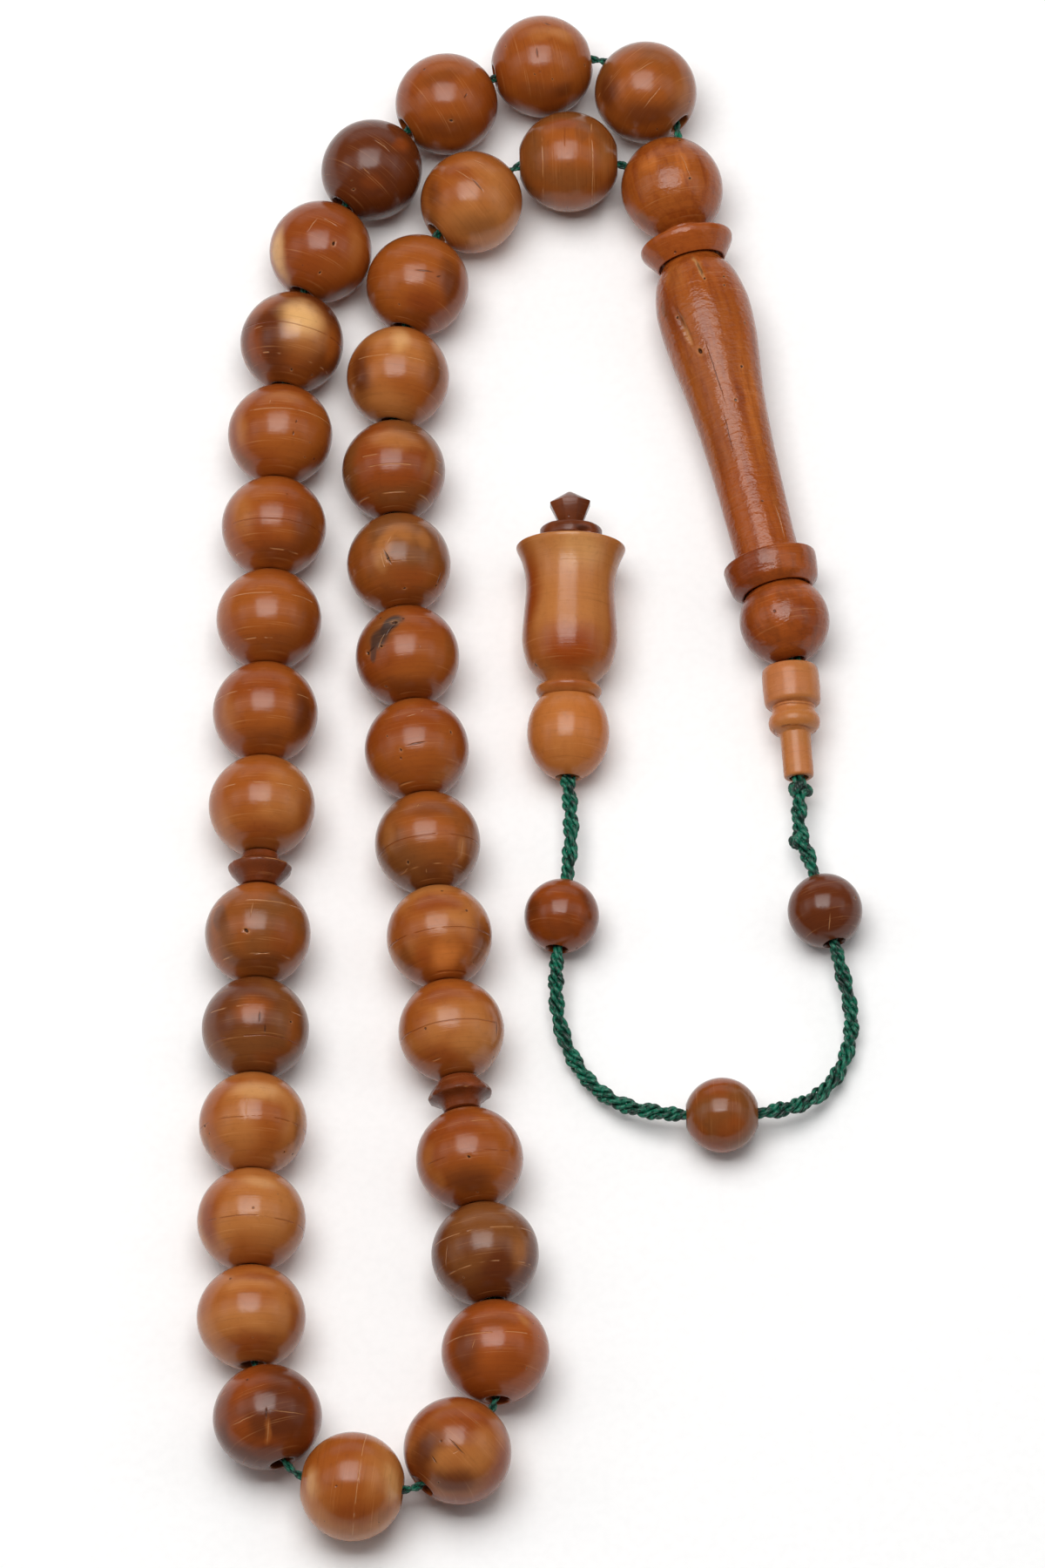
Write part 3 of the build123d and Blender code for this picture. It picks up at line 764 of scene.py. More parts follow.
    dict(tones=("amber", "honey"), girth=1.01, lines=[(0.0, 0.18, -1, 0.05), (0.0, -0.66, -1, 0.6)],
         patches=[(-0.65, -0.4, 0.3, 0.5, 0, "chestnut", 0.45), (0.78, -0.1, 0.3, 0.7, 0, "chestnut", 0.6),
                  (0.1, -0.4, 0.42, 0.5, 0, "glow", 0.95), (-0.3, -0.4, 0.25, 0.35, 0, "leading", 0.7),
                  (0.4, 0.4, 0.4, 0.3, 0, "honey", 0.6), (-0.1, 0.65, 0.7, 0.35, 0, "russet", 0.9),
                  (-0.75, 0.1, 0.3, 0.5, 0, "russet", 0.5)],
         pits=[(0.66, -0.48, 0.14), (-0.72, -0.45, 0.12)]),
    dict(tones=("amber", "olive"), girth=1.01, lines=[(0.0, 0.16, -1, 0.1), (0.0, -0.42, 1, 0.95)],
         patches=[(-0.45, -0.3, 0.35, 0.3, 0, "olive", 0.8), (0.65, -0.1, 0.12, 0.35, 4, "honey", 0.6),
                  (0.1, -0.5, 0.3, 0.3, 0, "chestnut", 0.5), (0.0, 0.65, 0.7, 0.35, 0, "chestnut", 0.45),
                  (-0.75, 0.1, 0.25, 0.5, 0, "honey", 0.4)],
         scratches=[(-0.4, -0.5, 0.08, 50, 1), (-0.02, -0.52, 0.06, 88, 1), (0.66, -0.1, 0.2, 82, 1),
                    (-0.18, 0.72, 0.06, 80, 1)],
         pits=[(-0.37, -0.36, 0.24)]),
    dict(tones=("russet", "amber"), girth=1, lines=[(0.0, -0.6, 1, 0.5)],
         patches=[(0.5, -0.5, 0.5, 0.3, 0, "honey", 0.45), (0.6, 0.2, 0.35, 0.4, 0, "amber", 0.6)],
         scratches=[(0.0, 0.12, 0.24, 12, -1), (-0.1, 0.66, 0.12, 20, 1), (0.1, 0.74, 0.05, 50, 1)],
         pits=[(-0.3, 0.0, 0.22), (-0.56, 0.26, 0.16), (0.66, 0.34, 0.22)]),
    dict(tones=("russet", "amber"), girth=1,
         patches=[(-0.55, 0.5, 0.75, 0.55, 50, "olive", 0.8), (-0.3, 0.62, 0.36, 0.2, 62, "smoke", 0.95),
                  (-0.55, 0.36, 0.34, 0.26, 40, "smoke", 0.85), (-0.7, 0.06, 0.12, 0.24, 0, "smoke", 0.7),
                  (0.0, -0.6, 0.8, 0.35, 0, "chestnut", 0.6), (0.8, 0.2, 0.2, 0.5, 0, "olive", 0.4)],
         scratches=[(-0.3, 0.55, 0.22, 64, -1), (-0.7, 0.12, 0.16, 25, -1), (-0.5, 0.3, 0.2, 70, 1)],
         pits=[(-0.76, 0.06, 0.34), (-0.24, 0.66, 0.4), (-0.5, 0.2, 0.24), (-0.4, -0.58, 0.18)]),
    dict(tones=("olive", "amber"), girth=1, lines=[(0.4, -0.42, 1, 1.0)],
         patches=[(0.0, -0.6, 0.9, 0.4, 0, "chestnut", 0.6), (-0.8, 0.0, 0.3, 0.5, 0, "chestnut", 0.3),
                  (0.05, 0.6, 0.5, 0.35, 0, "honey", 0.6), (0.2, -0.25, 0.5, 0.3, 0, "russet", 0.6),
                  (-0.3, 0.35, 0.25, 0.5, -20, "honey", 0.6), (0.5, 0.5, 0.2, 0.35, 10, "honey", 0.5),
                  (-0.3, 0.0, 0.22, 0.3, 0, "cream", 0.2)],
         scratches=[(-0.22, 0.14, 0.2, -62, -1), (-0.2, 0.12, 0.16, -64, -1), (-0.3, 0.06, 0.17, -75, 1),
                    (0.78, -0.28, 0.14, 70, -1), (0.76, 0.5, 0.16, 60, 1), (-0.18, 0.45, 0.1, 70, 1)],
         pits=[(0.12, -0.48, 0.2), (0.72, -0.42, 0.22), (-0.2, 0.1, 0.22)]),
    dict(tones=("russet", "olive"), girth=1,
         lines=[(0.0, -0.42, 1, 0.45), (0.0, 0.13, 1, 0.6), (0.0, 0.35, 1, 0.9), (0.0, -0.3, -1, 0.8)],
         patches=[(0.0, 0.65, 0.8, 0.35, 0, "honey", 0.7), (0.0, -0.5, 0.9, 0.4, 0, "olive", 0.7),
                  (0.75, 0.2, 0.3, 0.6, 0, "honey", 0.35)]),
    dict(tones=("amber", "honey"), girth=0.997, lines=[(0.0, 0.4, 1, 0.6)],
         patches=[(0.04, 0.75, 0.28, 0.55, 0, "cream", 0.6), (0.0, -0.6, 0.6, 0.4, 0, "honey", 0.35),
                  (-0.75, 0.1, 0.45, 0.8, 0, "chestnut", 0.9),
                  (0.78, 0.1, 0.42, 0.8, 0, "chestnut", 0.65)]),
    dict(tones=("russet", "amber"), girth=0.997,
         patches=[(-0.4, 0.5, 0.55, 0.35, 0, "amber", 0.7), (0.1, -0.35, 0.5, 0.35, 0, "leading_dark", 0.7),
                  (0.7, 0.0, 0.4, 0.7, 0, "chestnut", 0.75), (0.0, -0.65, 0.8, 0.3, 0, "chestnut", 0.5)],
         scratches=[(0.15, 0.25, 0.24, -5, -1), (0.42, 0.14, 0.06, 10, -1)], pits=[(-0.35, -0.4, 0.14)]),
    dict(tones=("honey", "amber"), girth=0.997,
         patches=[(-0.2, 0.55, 0.6, 0.3, -30, "russet", 0.75), (-0.75, -0.45, 0.35, 0.3, -40, "olive", 0.8),
                  (0.1, -0.5, 0.7, 0.35, 0, "olive", 0.6), (-0.75, 0.1, 0.3, 0.5, 0, "chestnut", 0.55)],
         scratches=[(-0.15, 0.5, 0.3, -42, 1), (0.12, 0.3, 0.22, -50, -1), (0.15, 0.75, 0.2, -45, 1)]),
    dict(tones=("olive", "amber"), girth=0.987,
         lines=[(-0.05, 0.0, -1, 0.5), (0.46, 0.0, 1, 0.4), (-0.5, 0.0, 1, 0.8)],
         patches=[(-0.1, 0.75, 0.5, 0.25, 0, "russet", 0.8), (0.3, 0.55, 0.2, 0.3, 0, "smoke", 0.25),
                  (0.0, -0.4, 0.8, 0.5, 0, "olive", 0.7), (0.75, 0.0, 0.3, 0.6, 0, "honey", 0.4),
                  (-0.7, 0.1, 0.4, 0.7, 0, "olive", 0.8)]),
]


def marks_on_ball(centre, radius, looks, pit_shape, pit_turn):
    """What a ball's looks list of patches, scratches and pits, as marks."""
    mark = partial(ball_mark, centre, radius)
    patches = [(mark(right, up, wide * radius, high * radius, angle, PATCH_DEPTH), patch_tone, strength)
               for right, up, wide, high, angle, patch_tone, strength in looks.get("patches", [])]
    scratches = [(mark(right, up, long * radius, SCRATCH_WIDTH * (1 if shade > 0 else 1.5), angle), shade)
                 for right, up, long, angle, shade in looks.get("scratches", [])]
    pits = [mark(right, up, width * MM, pit_shape * width * MM, pit_turn)
            for right, up, width in looks.get("pits", [])]
    return patches, scratches, pits


class MISBAHA_OT_beads(bpy.types.Operator):
    """Turn the 33 large beads, each with its own tones, lathe lines, patches, scratches and pores"""
    bl_idname = "misbaha.beads"
    bl_label = "Large beads"

    def execute(self, context):
        size = sizes()
        outline = bead_outline(size.bead_radius / MM, size.bead_length / MM, size.bore_radius / MM,
                               size.mouth_radius / MM)
        for number, looks in enumerate(BEADS, start=1):
            self.turn_bead(number, looks, outline)
        return {"FINISHED"}

    def turn_bead(self, number, looks, outline):
        size = sizes()
        node = f"bead_{number:02d}"
        centre = Vector(JOINTS[f"{node}_spin"]["pos_m"])
        axis = Vector(JOINTS[f"{node}_spin"]["axis"])
        patches, scratches, pits = marks_on_ball(centre, size.bead_radius, looks, 0.62, 60 + 37 * number)
        lines = [(face_direction(right, up).dot(axis) * size.bead_radius / MM, shade, broken)
                 for right, up, shade, broken in looks.get("lines", [])]
        material = nut_material(f"{node}_nut", looks["tones"], 95.0 + 9.0 * (number % 5), lines, patches,
                                scratches, pits)
        bm = placed(outline, lathe_to_frame(centre, axis), edge=0.0)
        for vert in bm.verts:
            spoke = vert.co - centre
            level = spoke - spoke.dot(axis) * axis
            if level.length > 1.3 * size.mouth_radius:
                vert.co += level * (looks["girth"] - 1)
                stray = noise.noise(vert.co * 210.0 + Vector((number, 0, 0)))
                vert.co += level.normalized() * size.hand_wobble * stray
        for pit in pits:
            dent(bm, pit, 0.9 * pit.size.x)
        add_piece(f"{node}_nut", bm, node, node, material)


class MISBAHA_OT_spacers(bpy.types.Operator):
    """Cut the two thin-rimmed spacers that part the three sets of beads"""
    bl_idname = "misbaha.spacers"
    bl_label = "Spacers"
    rim_start = 3.2
    rim_facets = 13

    def execute(self, context):
        half = 2.0
        outline = [
            (1.2, -half), (1.8, -half), (2.1, -half + 0.15), (2.2, -half + 0.55), (2.4, -half + 0.95),
            (2.75, -half + 1.25), (3.25, -half + 1.5), (3.72, -half + 1.66), (3.8, -half + 1.85),
            (3.72, -half + 2.1), (3.4, -half + 2.5), (2.7, -half + 3.2), (2.1, half - 0.05), (1.9, half),
            (1.2, half),
        ]
        for number in (1, 2):
            node = f"spacer_{number}"
            joint = JOINTS[f"{node}_spin"]
            matrix = lathe_to_frame(Vector(joint["pos_m"]), Vector(joint["axis"]))
            bm = turned(outline, steps=72, edge=0.06)
            keep_place(bm)
            for vert in bm.verts:
                reach = math.hypot(vert.co.x, vert.co.y)
                if reach > self.rim_start:
                    angle = math.atan2(vert.co.y, vert.co.x)
                    nick = 0.12 * noise.noise(Vector((5 * math.cos(angle), 5 * math.sin(angle), number)))
                    share = min(1.0, (reach - self.rim_start) / 0.5)
                    cut = facet(angle, self.rim_facets) - 1 + (nick - 0.06) / reach
                    vert.co.xy = vert.co.xy * (1 + share * cut)
            bmesh.ops.transform(bm, matrix=matrix, verts=bm.verts)
            material = nut_material(f"{node}_nut", ("spacer", "chestnut"), 240.0, lines=[(-0.3, 1, 0.8)],
                                    gloss=0.27)
            add_piece(f"{node}_turned", bm, node, node, material, sharp=35.0)
        return {"FINISHED"}


# In millimetres: the bore and the sockets that the turned parts share, and the radii of the two balls
CORD_BORE = 1.1
SOCKET = 2.05
HEAD_RADIUS = 5.95
LOWER_BALL_RADIUS = 5.2


def leading_axis():
    """Centre of the head and direction down the leading piece."""
    head = box_centre("head_knot")
    return head, (box_centre("core_cord") - head).normalized()


def rod_mark(origin, axis, along, side, radius, half_length, half_width, angle=0.0):
    """A mark on the face of a turned rod, all in millimetres: how far along, how far to the right."""
    x = (OUT - OUT.dot(axis) * axis).normalized()
    sideways = x.cross(axis).normalized()
    if sideways.dot(RIGHT) < 0:
        sideways = -sideways
    lift = math.sqrt(max(0.01, radius * radius - side * side))
    out = (sideways * side + x * lift).normalized()
    middle = origin + (axis * along + sideways * side + x * lift) * MM
    turn = math.radians(angle)
    run = axis * math.cos(turn) + sideways * math.sin(turn)
    run = (run - run.dot(out) * out).normalized()
    depth = max(2.2, 1.6 * half_width)
    return Mark(middle, out, run, (half_length * MM, half_width * MM, depth * MM))


class MISBAHA_OT_leading_piece(bpy.types.Operator):
    """Turn the leading piece: head, collar, shank, disc and lower ball"""
    bl_idname = "misbaha.leading_piece"
    bl_label = "Leading piece"

    def execute(self, context):
        origin, axis = leading_axis()
        matrix = lathe_to_frame(origin, axis)
        head = [(0.0, -6.2)] + arc(HEAD_RADIUS, 6.2, 0.0, -6.19, 5.6, 46)
        head += [(2.55, 5.75), (2.6, 6.85), (SOCKET, 6.85), (SOCKET, 3.0), (0.0, 3.0)]
        collar = [
            (SOCKET, 6.9), (4.3, 6.9), (5.25, 6.93), (5.42, 7.05), (5.48, 7.35), (5.36, 7.8), (5.05, 8.3),
            (4.5, 9.1), (4.02, 9.8), (3.82, 9.8), (3.65, 9.35), (3.4, 9.15), (SOCKET, 9.1),
        ]
        swell = smooth_side([
            (3.25, 9.5), (3.75, 10.3), (4.63, 11.77), (5.25, 14.0), (5.5, 16.6), (5.3, 20.6), (4.69, 25.6),
            (4.11, 32.0), (3.8, 40.3), (3.68, 48.25),
        ])
        shank = [(CORD_BORE, 3.1), (2.0, 3.1), (2.0, 9.3)] + swell
        shank += [(2.0, 48.25), (2.0, 54.4), (CORD_BORE, 54.4)]
        disc = [
            (SOCKET, 48.3), (5.2, 48.3), (5.4, 48.38), (5.46, 48.6), (5.4, 49.6), (5.1, 51.2), (4.95, 51.5),
            (4.2, 52.2), (3.95, 52.2), (3.7, 51.9), (3.3, 51.7), (SOCKET, 51.7),
        ]
        ball_centre = (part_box("imame_ball")[0].y + LOWER_BALL_RADIUS * MM - origin.y) / axis.y / MM
        ball = [(SOCKET, 54.6), (SOCKET, 51.85)]
        ball += arc(LOWER_BALL_RADIUS, LOWER_BALL_RADIUS, ball_centre, ball_centre - 4.1,
                    ball_centre + 5.03, 40)
        ball += [(1.15, ball_centre + 5.0), (CORD_BORE, ball_centre + 4.6), (CORD_BORE, 54.6)]

        on_head = partial(ball_mark, origin, HEAD_RADIUS * MM)
        head_material = nut_material(
            "head_nut", STREAKED, 100.0, streaks=0.6, chatter=0.07 * MM,
            patches=[(on_head(0.18, 0.45, 0.96 * MM, 3.6 * MM, 0), "glow", 0.6),
                     (on_head(-0.45, 0.5, 2.1 * MM, 1.8 * MM, 0), "glow", 0.45),
                     (on_head(-0.6, -0.6, 1.8 * MM, 1.8 * MM, 30), "olive", 0.6)],
            scratches=[(on_head(0.26, 0.45, 2.0 * MM, 0.07 * MM, -76), 1)],
            pits=[on_head(0.34, 0.18, 0.22 * MM, 0.16 * MM, 20),
                  on_head(0.14, 0.93, 0.22 * MM, 0.2 * MM, 20)])
        bm = placed(head, matrix, edge=0.1)
        for point, next_point in (LOOP_ROUTE[:2], LOOP_ROUTE[:-3:-1]):
            start = Vector(point)
            towards = (Vector(next_point) - start).normalized()
            middle = start + towards * self.way_out(origin, start, towards)
            hole = Mark(middle, towards, towards.orthogonal(), (1.15 * MM, 1.15 * MM, 2.2 * MM))
            dent(bm, hole, 2.4 * MM)
        add_piece("imame_head_turned", bm, "root", "imame_head", head_material)

        on_shank = partial(rod_mark, origin, axis)
        gouge = on_shank(18.8, -2.9, 5.4, 3.9, 0.6, 13)
        split = on_shank(12.2, 0.75, 4.8, 2.6, 0.42, 3)
        shank_pits = [
            on_shank(22.6, -1.7, 5.1, 0.42, 0.3, 20), on_shank(25.4, 2.6, 4.8, 0.22, 0.2),
            on_shank(29.4, 0.9, 4.4, 0.22, 0.2), on_shank(14.0, 3.2, 5.2, 0.16, 0.14),
            on_shank(15.2, 2.9, 5.3, 0.16, 0.14), on_shank(14.0, 0.95, 5.2, 0.2, 0.14),
            on_shank(20.0, 4.2, 5.3, 0.3, 0.12), on_shank(17.6, -3.3, 5.4, 0.2, 0.14),
        ]
        shank_material = nut_material(
            "shank_nut", STREAKED, 75.0, streaks=0.55, chatter=0.12 * MM,
            patches=[(gouge, "cream", 0.55), (split, "cream", 0.7),
                     (on_shank(12.5, -2.4, 4.8, 3.0, 2.0), "honey", 0.4),
                     (on_shank(17.0, -3.6, 5.4, 5.0, 1.8, 10), "leading_dark", 0.7),
                     (on_shank(16.0, -4.2, 5.4, 2.2, 0.9, 10), "olive", 0.7),
                     (on_shank(30.0, 3.0, 4.6, 12.0, 1.6), "glow", 0.45),
                     (on_shank(34.0, -2.6, 4.0, 7.0, 0.9), "leading_dark", 0.5),
                     (on_shank(29.0, 1.4, 4.4, 4.0, 0.8), "leading_dark", 0.6),
                     (on_shank(40.0, 0.2, 3.8, 5.0, 1.2), "leading_dark", 0.4),
                     (on_shank(18.2, -3.1, 5.4, 1.3, 0.7, 13), "olive", 0.8),
                     (on_shank(43.0, 2.6, 3.8, 4.0, 0.8), "honey", 0.35)],
            scratches=[(on_shank(12.4, 0.75, 4.8, 1.7, 0.2, 3), -1),
                       (on_shank(25.5, -0.6, 4.9, 5.5, 0.07, 3), -1),
                       (on_shank(33.0, -0.9, 4.2, 3.2, 0.06, -2), -1),
                       (on_shank(45.0, 2.4, 3.8, 2.5, 0.12, 2), 1)],
            pits=shank_pits)
        bm = placed(shank, matrix, edge=0.08)
        rough = Vector((0, 0, 4.0))
        for vert in bm.verts:
            reach = (vert.co - origin).dot(axis)
            if 10 * MM < reach < 48 * MM:
                level = vert.co - origin - axis * reach
                level.normalize()
                vert.co += level * 0.07 * MM * noise.noise(vert.co * 260.0 + rough)
        dent(bm, gouge, 0.3 * MM)
        dent(bm, split, 0.35 * MM)
        for pit in shank_pits:
            dent(bm, pit, 0.7 * pit.size.x)
        add_piece("imame_shank_turned", bm, "root", "imame_shank", shank_material)

        dark = ("leading_dark", "leading", "chestnut")
        for node, outline, tones in (
            ("imame_collar", collar, ("leading", "leading", "leading_dark")),
            ("imame_disc", disc, dark), ("imame_ball", ball, dark),
        ):
            material = nut_material(f"{node}_nut", tones, 120.0, streaks=0.35, chatter=0.08 * MM)
            bm = placed(outline, matrix)
            add_piece(f"{node}_turned", bm, "root", node, material)
        return {"FINISHED"}

    def way_out(self, centre, start, towards):
        """Distance from a point inside the head to its surface."""
        reach = start - centre
        along = reach.dot(towards)
        return -along + math.sqrt(max(0.0, along * along + (HEAD_RADIUS * MM) ** 2 - reach.length_squared))


class MISBAHA_OT_tip(bpy.types.Operator):
    """Turn the loose tip: drum, groove, bead ring and slim tube"""
    bl_idname = "misbaha.tip"
    bl_label = "Tip"

    def execute(self, context):
        joint = JOINTS["tip_spin"]
        outline = [
            (CORD_BORE, 0.0), (2.6, 0.0), (3.0, 0.12), (3.22, 0.45), (3.3, 1.1), (3.32, 2.6), (3.24, 4.2),
            (3.14, 4.5), (2.95, 4.68), (2.62, 4.8), (2.5, 5.1), (2.5, 5.55), (2.62, 5.85), (2.86, 6.15),
            (2.98, 6.6), (2.98, 6.95), (2.85, 7.4), (2.5, 7.8), (2.1, 7.98), (1.82, 8.2), (1.76, 8.8),
            (1.74, 11.0), (1.74, 13.0), (1.68, 13.35), (1.5, 13.5), (CORD_BORE, 13.52),
        ]
        # The three dark lines lie in the groove and in the crease under the bead ring: painted shade in
        # those creases.
        material = nut_material("tip_nut", ("tip", "honey", "amber"), 160.0, streaks=0.12,
                                lines=[(4.9, -1, 0.0), (5.2, -1, 0.1), (7.9, -1, 0.3)], gloss=0.27)
        matrix = lathe_to_frame(Vector(joint["pos_m"]), Vector(joint["axis"]))
        bm = placed(outline, matrix, steps=72, edge=0.05)
        add_piece("imame_tip_turned", bm, "tip", "imame_tip", material)
        return {"FINISHED"}


class MISBAHA_OT_tail_beads(bpy.types.Operator):
    """Turn the three small dark beads of the tail"""
    bl_idname = "misbaha.tail_beads"
    bl_label = "Tail beads"

    def execute(self, context):
        size = sizes()
        outline = bead_outline(size.small_radius / MM, size.small_length / MM, 1.15, 1.4)
        marks = {
            "right": dict(tones=("small", "chestnut"), scratches=[(0.1, -0.3, 0.3, 88, 1)],
                          pits=[(0.8, 0.35, 0.2)]),
            "bottom": dict(tones=("russet", "olive"), patches=[(0.4, -0.3, 0.5, 0.5, 0, "leading", 0.3)]),
            "left": dict(tones=("chestnut", "russet"), pits=[(0.4, -0.85, 0.2)]),
        }
        for side, looks in marks.items():
            node = f"tail_bead_{side}"
            centre = box_centre(node)
            axis = Vector(JOINTS[f"{node}_slide"]["axis"])
            patches, scratches, pits = marks_on_ball(centre, size.small_radius, looks, 0.7, 30)
            material = nut_material(f"{node}_nut", looks["tones"], 150.0, [], patches, scratches, pits,
                                    gloss=0.16)
            bm = placed(outline, lathe_to_frame(centre, axis), steps=80, edge=0.0)
            for pit in pits:
                dent(bm, pit, 0.8 * pit.size.x)
            add_piece(f"{node}_nut", bm, node, node, material)
        return {"FINISHED"}


class MISBAHA_OT_finial(bpy.types.Operator):
    """Turn the finial: ball, ring and hollow bell"""
    bl_idname = "misbaha.finial"
    bl_label = "Finial"

    def execute(self, context):
        mouth = Vector(JOINTS["finial_swing"]["pos_m"])
        axis = Vector(JOINTS["stopper_pull"]["axis"])
        matrix = lathe_to_frame(mouth, axis)
        ball = [(CORD_BORE, 9.5), (CORD_BORE, 0.6), (1.35, 0.1), (1.5, 0.02)]
        ball += arc(4.75, 5.7, 5.46, 0.2, 9.48, 40)
        ring = [
            (CORD_BORE, 9.55), (2.95, 9.55), (3.1, 9.6), (3.55, 9.95), (3.78, 10.35), (3.8, 10.65),
            (3.65, 10.9), (3.3, 11.02), (2.6, 11.05), (CORD_BORE, 11.05),
        ]
        side = smooth_side([
            (2.75, 11.25), (3.3, 11.9), (4.1, 12.7), (4.85, 13.75), (5.38, 15.7), (5.5, 17.4), (5.3, 20.0),
            (5.13, 22.5), (5.23, 24.3), (5.65, 26.1), (6.2, 27.4),
        ])
        bell = [(CORD_BORE, 11.1), (2.6, 11.1)] + side
        bell += [(6.33, 27.75), (6.3, 27.92), (6.1, 28.02), (4.5, 28.4), (3.0, 28.78), (2.6, 28.8)]
        bell += [(2.6, 15.0), (CORD_BORE, 15.0)]
        on_bell = partial(rod_mark, mouth, axis)
        material = nut_material(
            "finial_nut", ("finial", "honey", "finial_dark"), 60.0, streaks=0.12,
            patches=[(on_bell(14.2, 0.0, 5.2, 4.6, 6.5), "bell_deep_and_side_shade", 0.95),
                     (on_bell(10.5, 0.0, 3.8, 0.9, 5.0), "bell_deep_and_side_shade", 0.6),
                     # The two patches down the left and right flanks (side -4.7 and 4.9) are painted shade
                     # on the bell's sides.
                     (on_bell(21.0, -4.7, 5.2, 10.0, 2.9), "bell_deep_and_side_shade", 0.95),
                     (on_bell(18.0, 4.9, 5.2, 8.0, 2.2), "bell_deep_and_side_shade", 0.7),
                     (on_bell(26.4, 1.0, 5.6, 3.6, 4.2), "cream", 0.4)],
            pits=[on_bell(13.0, -4.4, 5.0, 0.3, 0.16)])
        for node, outline in (("finial_ball", ball), ("finial_ring", ring), ("finial_bell", bell)):
            bm = placed(outline, matrix, edge=0.06)
            add_piece(f"{node}_turned", bm, "finial", node, material)
        return {"FINISHED"}


class MISBAHA_OT_stopper(bpy.types.Operator):
    """Cut the finial's stopper: a disc with a spigot, and a faceted knob"""
    bl_idname = "misbaha.stopper"
    bl_label = "Stopper"

    def execute(self, context):
        mouth = Vector(JOINTS["finial_swing"]["pos_m"])
        axis = Vector(JOINTS["stopper_pull"]["axis"])
        matrix = lathe_to_frame(mouth, axis)
        disc = [
            (0.85, 25.8), (2.45, 25.8), (2.5, 25.9), (2.5, 28.86), (3.4, 28.9), (3.6, 29.0), (3.65, 29.25),
            (3.62, 30.0), (3.45, 30.3), (3.1, 30.4), (0.85, 30.4),
        ]
        # The dark patch on the disc's rim next to the bell, right of its middle, is painted shade from the
        # gap under the disc, laid over the notch pressed in there.
        material = nut_material("stopper_nut", ("stopper", "chestnut"), 220.0, gloss=0.26,
                                patches=[(rod_mark(mouth, axis, 29.3, 1.4, 3.6, 0.5, 1.6), "pit", 0.7)])
        bm = turned(disc, steps=72, edge=0.05)
        keep_place(bm)
        for vert in bm.verts:
            reach = math.hypot(vert.co.x, vert.co.y)
            if reach > 3.0:
                angle = math.atan2(vert.co.y, vert.co.x)
                vert.co.xy = vert.co.xy * (0.7 + 0.3 * facet(angle, 9))
        bmesh.ops.transform(bm, matrix=matrix, verts=bm.verts)
        dent(bm, rod_mark(mouth, axis, 29.1, 1.5, 3.6, 0.35, 1.2), 0.45 * MM)
        add_piece("finial_disc_cut", bm, "stopper", "finial_disc", material, sharp=30.0)

        bm = bmesh.new()
        for low, high, low_radius, high_radius in ((30.45, 33.35, 1.25, 2.55), (33.35, 34.75, 2.55, 0.3)):
            half = (high - low) / 2
            turn = Matrix.Translation((0, 0, low + half)) @ Matrix.Rotation(math.radians(22.5), 4, "Z")
            bmesh.ops.create_cone(bm, cap_ends=False, segments=8, radius1=low_radius, radius2=high_radius,
                                  depth=2 * half, matrix=turn)
        bmesh.ops.remove_doubles(bm, verts=bm.verts, dist=1e-3)
        ends = [e for e in bm.edges if e.is_boundary]
        bmesh.ops.holes_fill(bm, edges=ends, sides=8)
        bmesh.ops.recalc_face_normals(bm, faces=bm.faces)
        bmesh.ops.bevel(bm, geom=list(bm.edges), offset=0.09, offset_type="OFFSET", affect="EDGES",
                        segments=2, profile=0.5, material=-1, clamp_overlap=True)
        keep_place(bm)
        lean = Matrix.Translation((0, 0, 30.4)) @ Matrix.Rotation(math.radians(3), 4, "X")
        lean = lean @ Matrix.Translation((0, 0, -30.4))
        bmesh.ops.transform(bm, matrix=matrix @ lean, verts=bm.verts)
        add_piece("finial_knob_cut", bm, "stopper", "finial_knob", material, sharp=24.0)
        return {"FINISHED"}


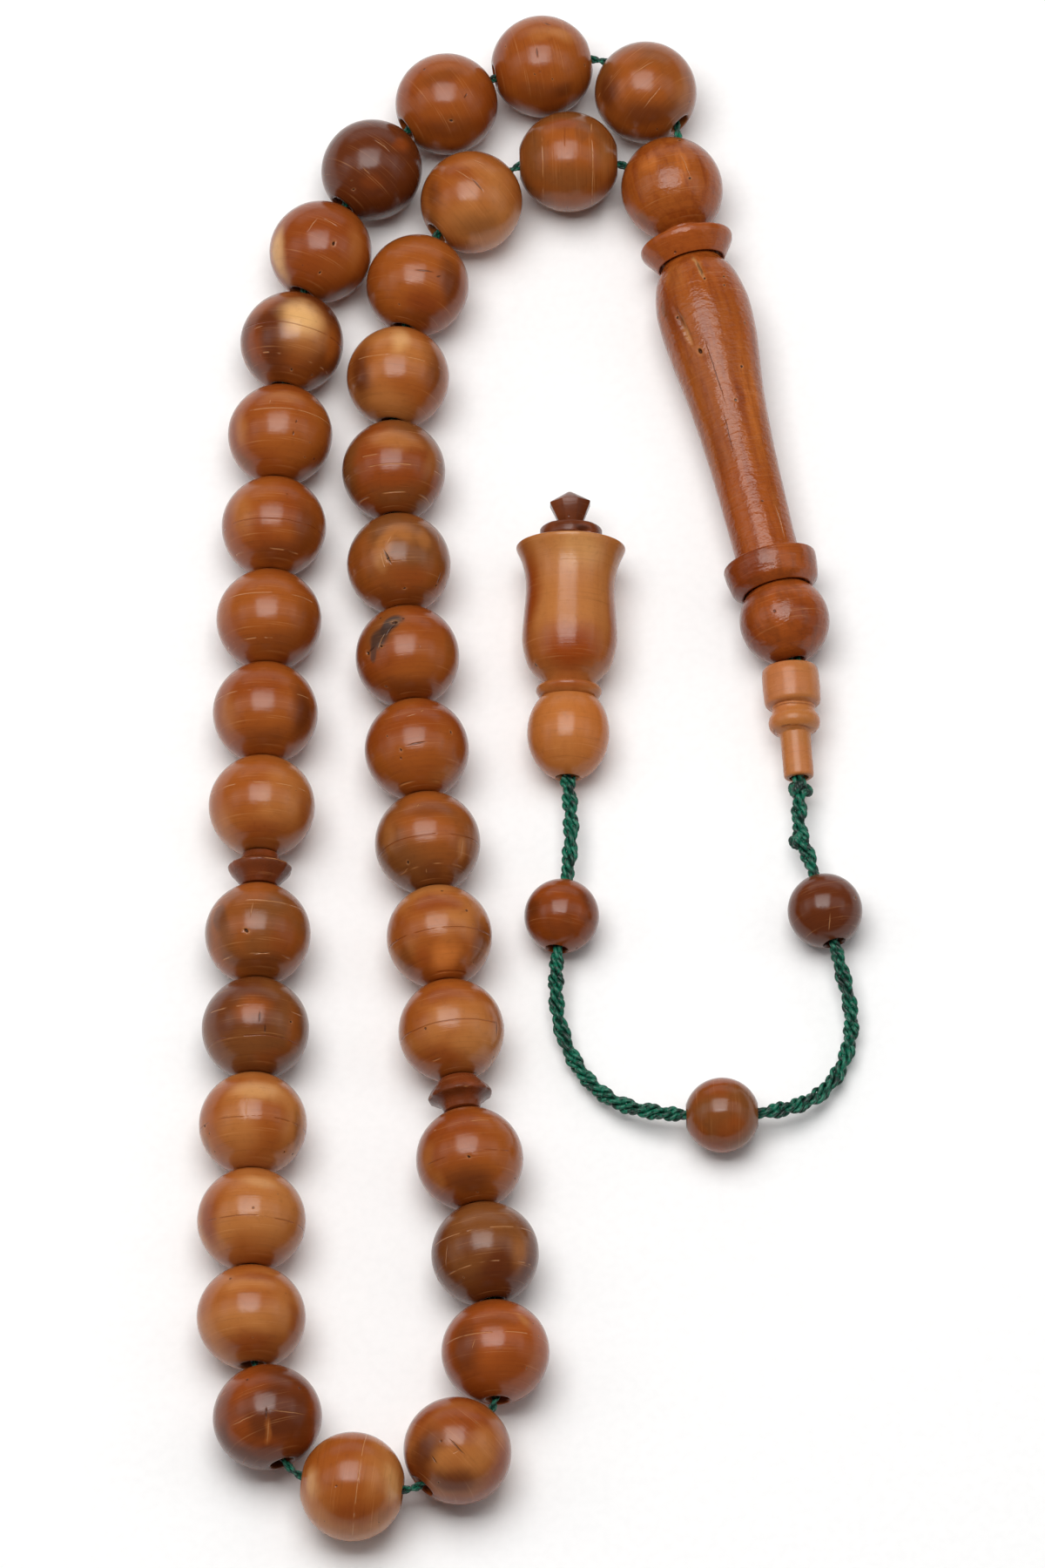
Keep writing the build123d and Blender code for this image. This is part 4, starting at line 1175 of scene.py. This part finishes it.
class MISBAHA_OT_stage(bpy.types.Operator):
    """Set up the pale floor, the soft lights and the camera"""
    bl_idname = "misbaha.stage"
    bl_label = "Stage"

    def execute(self, context):
        self.add_floor(context)
        panels = [
            # name, place, size, power, colour
            ("overhead", (-0.08, 0.135, 0.75), (0.62, 0.54), 4.6, (1.0, 0.99, 0.98)),
            ("overhead_front", (-0.08, 0.02, 0.74), (0.56, 0.30), 0.8, (1.0, 0.99, 0.98)),
            ("front_edge", (-0.08, -0.105, 0.74), (0.46, 0.045), 0.42, (1.0, 1.0, 1.0)),
            ("wing_left", (-0.78, 0.1, 0.72), (0.7, 0.5), 0.9, (0.98, 0.99, 1.0)),
            ("wing_right", (0.62, 0.1, 0.72), (0.7, 0.5), 0.9, (0.98, 0.99, 1.0)),
            ("back", (0.0, 1.3, 0.4), (2.0, 0.6), 2.4, (0.98, 0.99, 1.0)),
            ("left", (-1.1, -0.1, 0.4), (0.9, 0.7), 0.8, (1.0, 0.98, 0.96)),
            ("right", (1.1, -0.1, 0.4), (0.9, 0.7), 0.7, (1.0, 0.98, 0.96)),
        ]
        for name, place, size, power, light_colour in panels:
            light = bpy.data.lights.new(name, "AREA")
            light.shape = "RECTANGLE"
            light.size, light.size_y = size
            light.energy = power
            light.color = light_colour
            lamp = bpy.data.objects.new(name, light)
            lamp.location = place
            back = Vector(place).normalized()
            across = Vector((0, 1, 0)).cross(back).normalized()
            lamp.rotation_euler = Matrix((across, back.cross(across), back)).transposed().to_euler()
            context.scene.collection.objects.link(lamp)
        world = bpy.data.worlds.new("studio")
        world.use_nodes = True
        background = world.node_tree.nodes["Background"]
        background.inputs["Color"].default_value = (0.96, 0.98, 1.0, 1.0)
        background.inputs["Strength"].default_value = 0.1
        context.scene.world = world
        context.scene.view_settings.view_transform = "Standard"

        camera = bpy.data.cameras.new("camera")
        camera.lens = 300
        camera.sensor_width = 36
        camera.clip_start = 0.01
        holder = bpy.data.objects.new("camera", camera)
        holder.location = CAMERA_AIM + OUT * CAMERA_DISTANCE
        holder.rotation_euler = (math.pi / 2 - SEAT_ELEVATION, 0, 0)
        context.scene.collection.objects.link(holder)
        context.scene.camera = holder
        return {"FINISHED"}

    def add_floor(self, context):
        bm = bmesh.new()
        bmesh.ops.create_grid(bm, x_segments=8, y_segments=8, size=4.0)
        mesh = bpy.data.meshes.new("floor")
        bm.to_mesh(mesh)
        bm.free()
        floor = bpy.data.objects.new("floor", mesh)
        floor.location.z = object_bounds()[0].z
        context.scene.collection.objects.link(floor)
        recipe = Recipe("paper_floor")
        grain = recipe.noise(recipe.place, 900.0, 3.0)
        base = recipe.tint(recipe.fade(grain, 0.2, 0.8), (0.93, 0.93, 0.93, 1.0), (0.96, 0.96, 0.96, 1.0))
        recipe.bump(grain, 0.02 * MM, 0.3)
        mesh.materials.append(recipe.finish(base, recipe.between(grain, 0.55, 0.65), specular=0.2))
        floor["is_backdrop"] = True


class MISBAHA_PT_panel(bpy.types.Panel):
    """Lists what makes the prayer beads"""
    bl_label = "Misbaha"
    bl_idname = "MISBAHA_PT_panel"
    bl_space_type = "VIEW_3D"
    bl_region_type = "UI"
    bl_category = "Misbaha"

    def draw(self, context):
        for operator in OPERATORS:
            self.layout.operator(operator.bl_idname)
        for group in (context.scene.misbaha_sizes, context.scene.misbaha_colours):
            box = self.layout.box()
            for name in group.bl_rna.properties.keys():
                if name not in ("rna_type", "name"):
                    box.prop(group, name)


OPERATORS = (
    MISBAHA_OT_stage, MISBAHA_OT_cords, MISBAHA_OT_beads, MISBAHA_OT_spacers, MISBAHA_OT_leading_piece,
    MISBAHA_OT_tip, MISBAHA_OT_tail_beads, MISBAHA_OT_finial, MISBAHA_OT_stopper,
)
CLASSES = (MisbahaSizes, MisbahaColours, *OPERATORS, MISBAHA_PT_panel)


def register():
    for cls in CLASSES:
        bpy.utils.register_class(cls)
    bpy.types.Scene.misbaha_sizes = PointerProperty(type=MisbahaSizes)
    bpy.types.Scene.misbaha_colours = PointerProperty(type=MisbahaColours)


def unregister():
    del bpy.types.Scene.misbaha_colours
    del bpy.types.Scene.misbaha_sizes
    for cls in reversed(CLASSES):
        bpy.utils.unregister_class(cls)


def main():
    register()
    for operator in OPERATORS:
        group, name = operator.bl_idname.split(".")
        getattr(getattr(bpy.ops, group), name)()


if __name__ == "__main__":
    main()
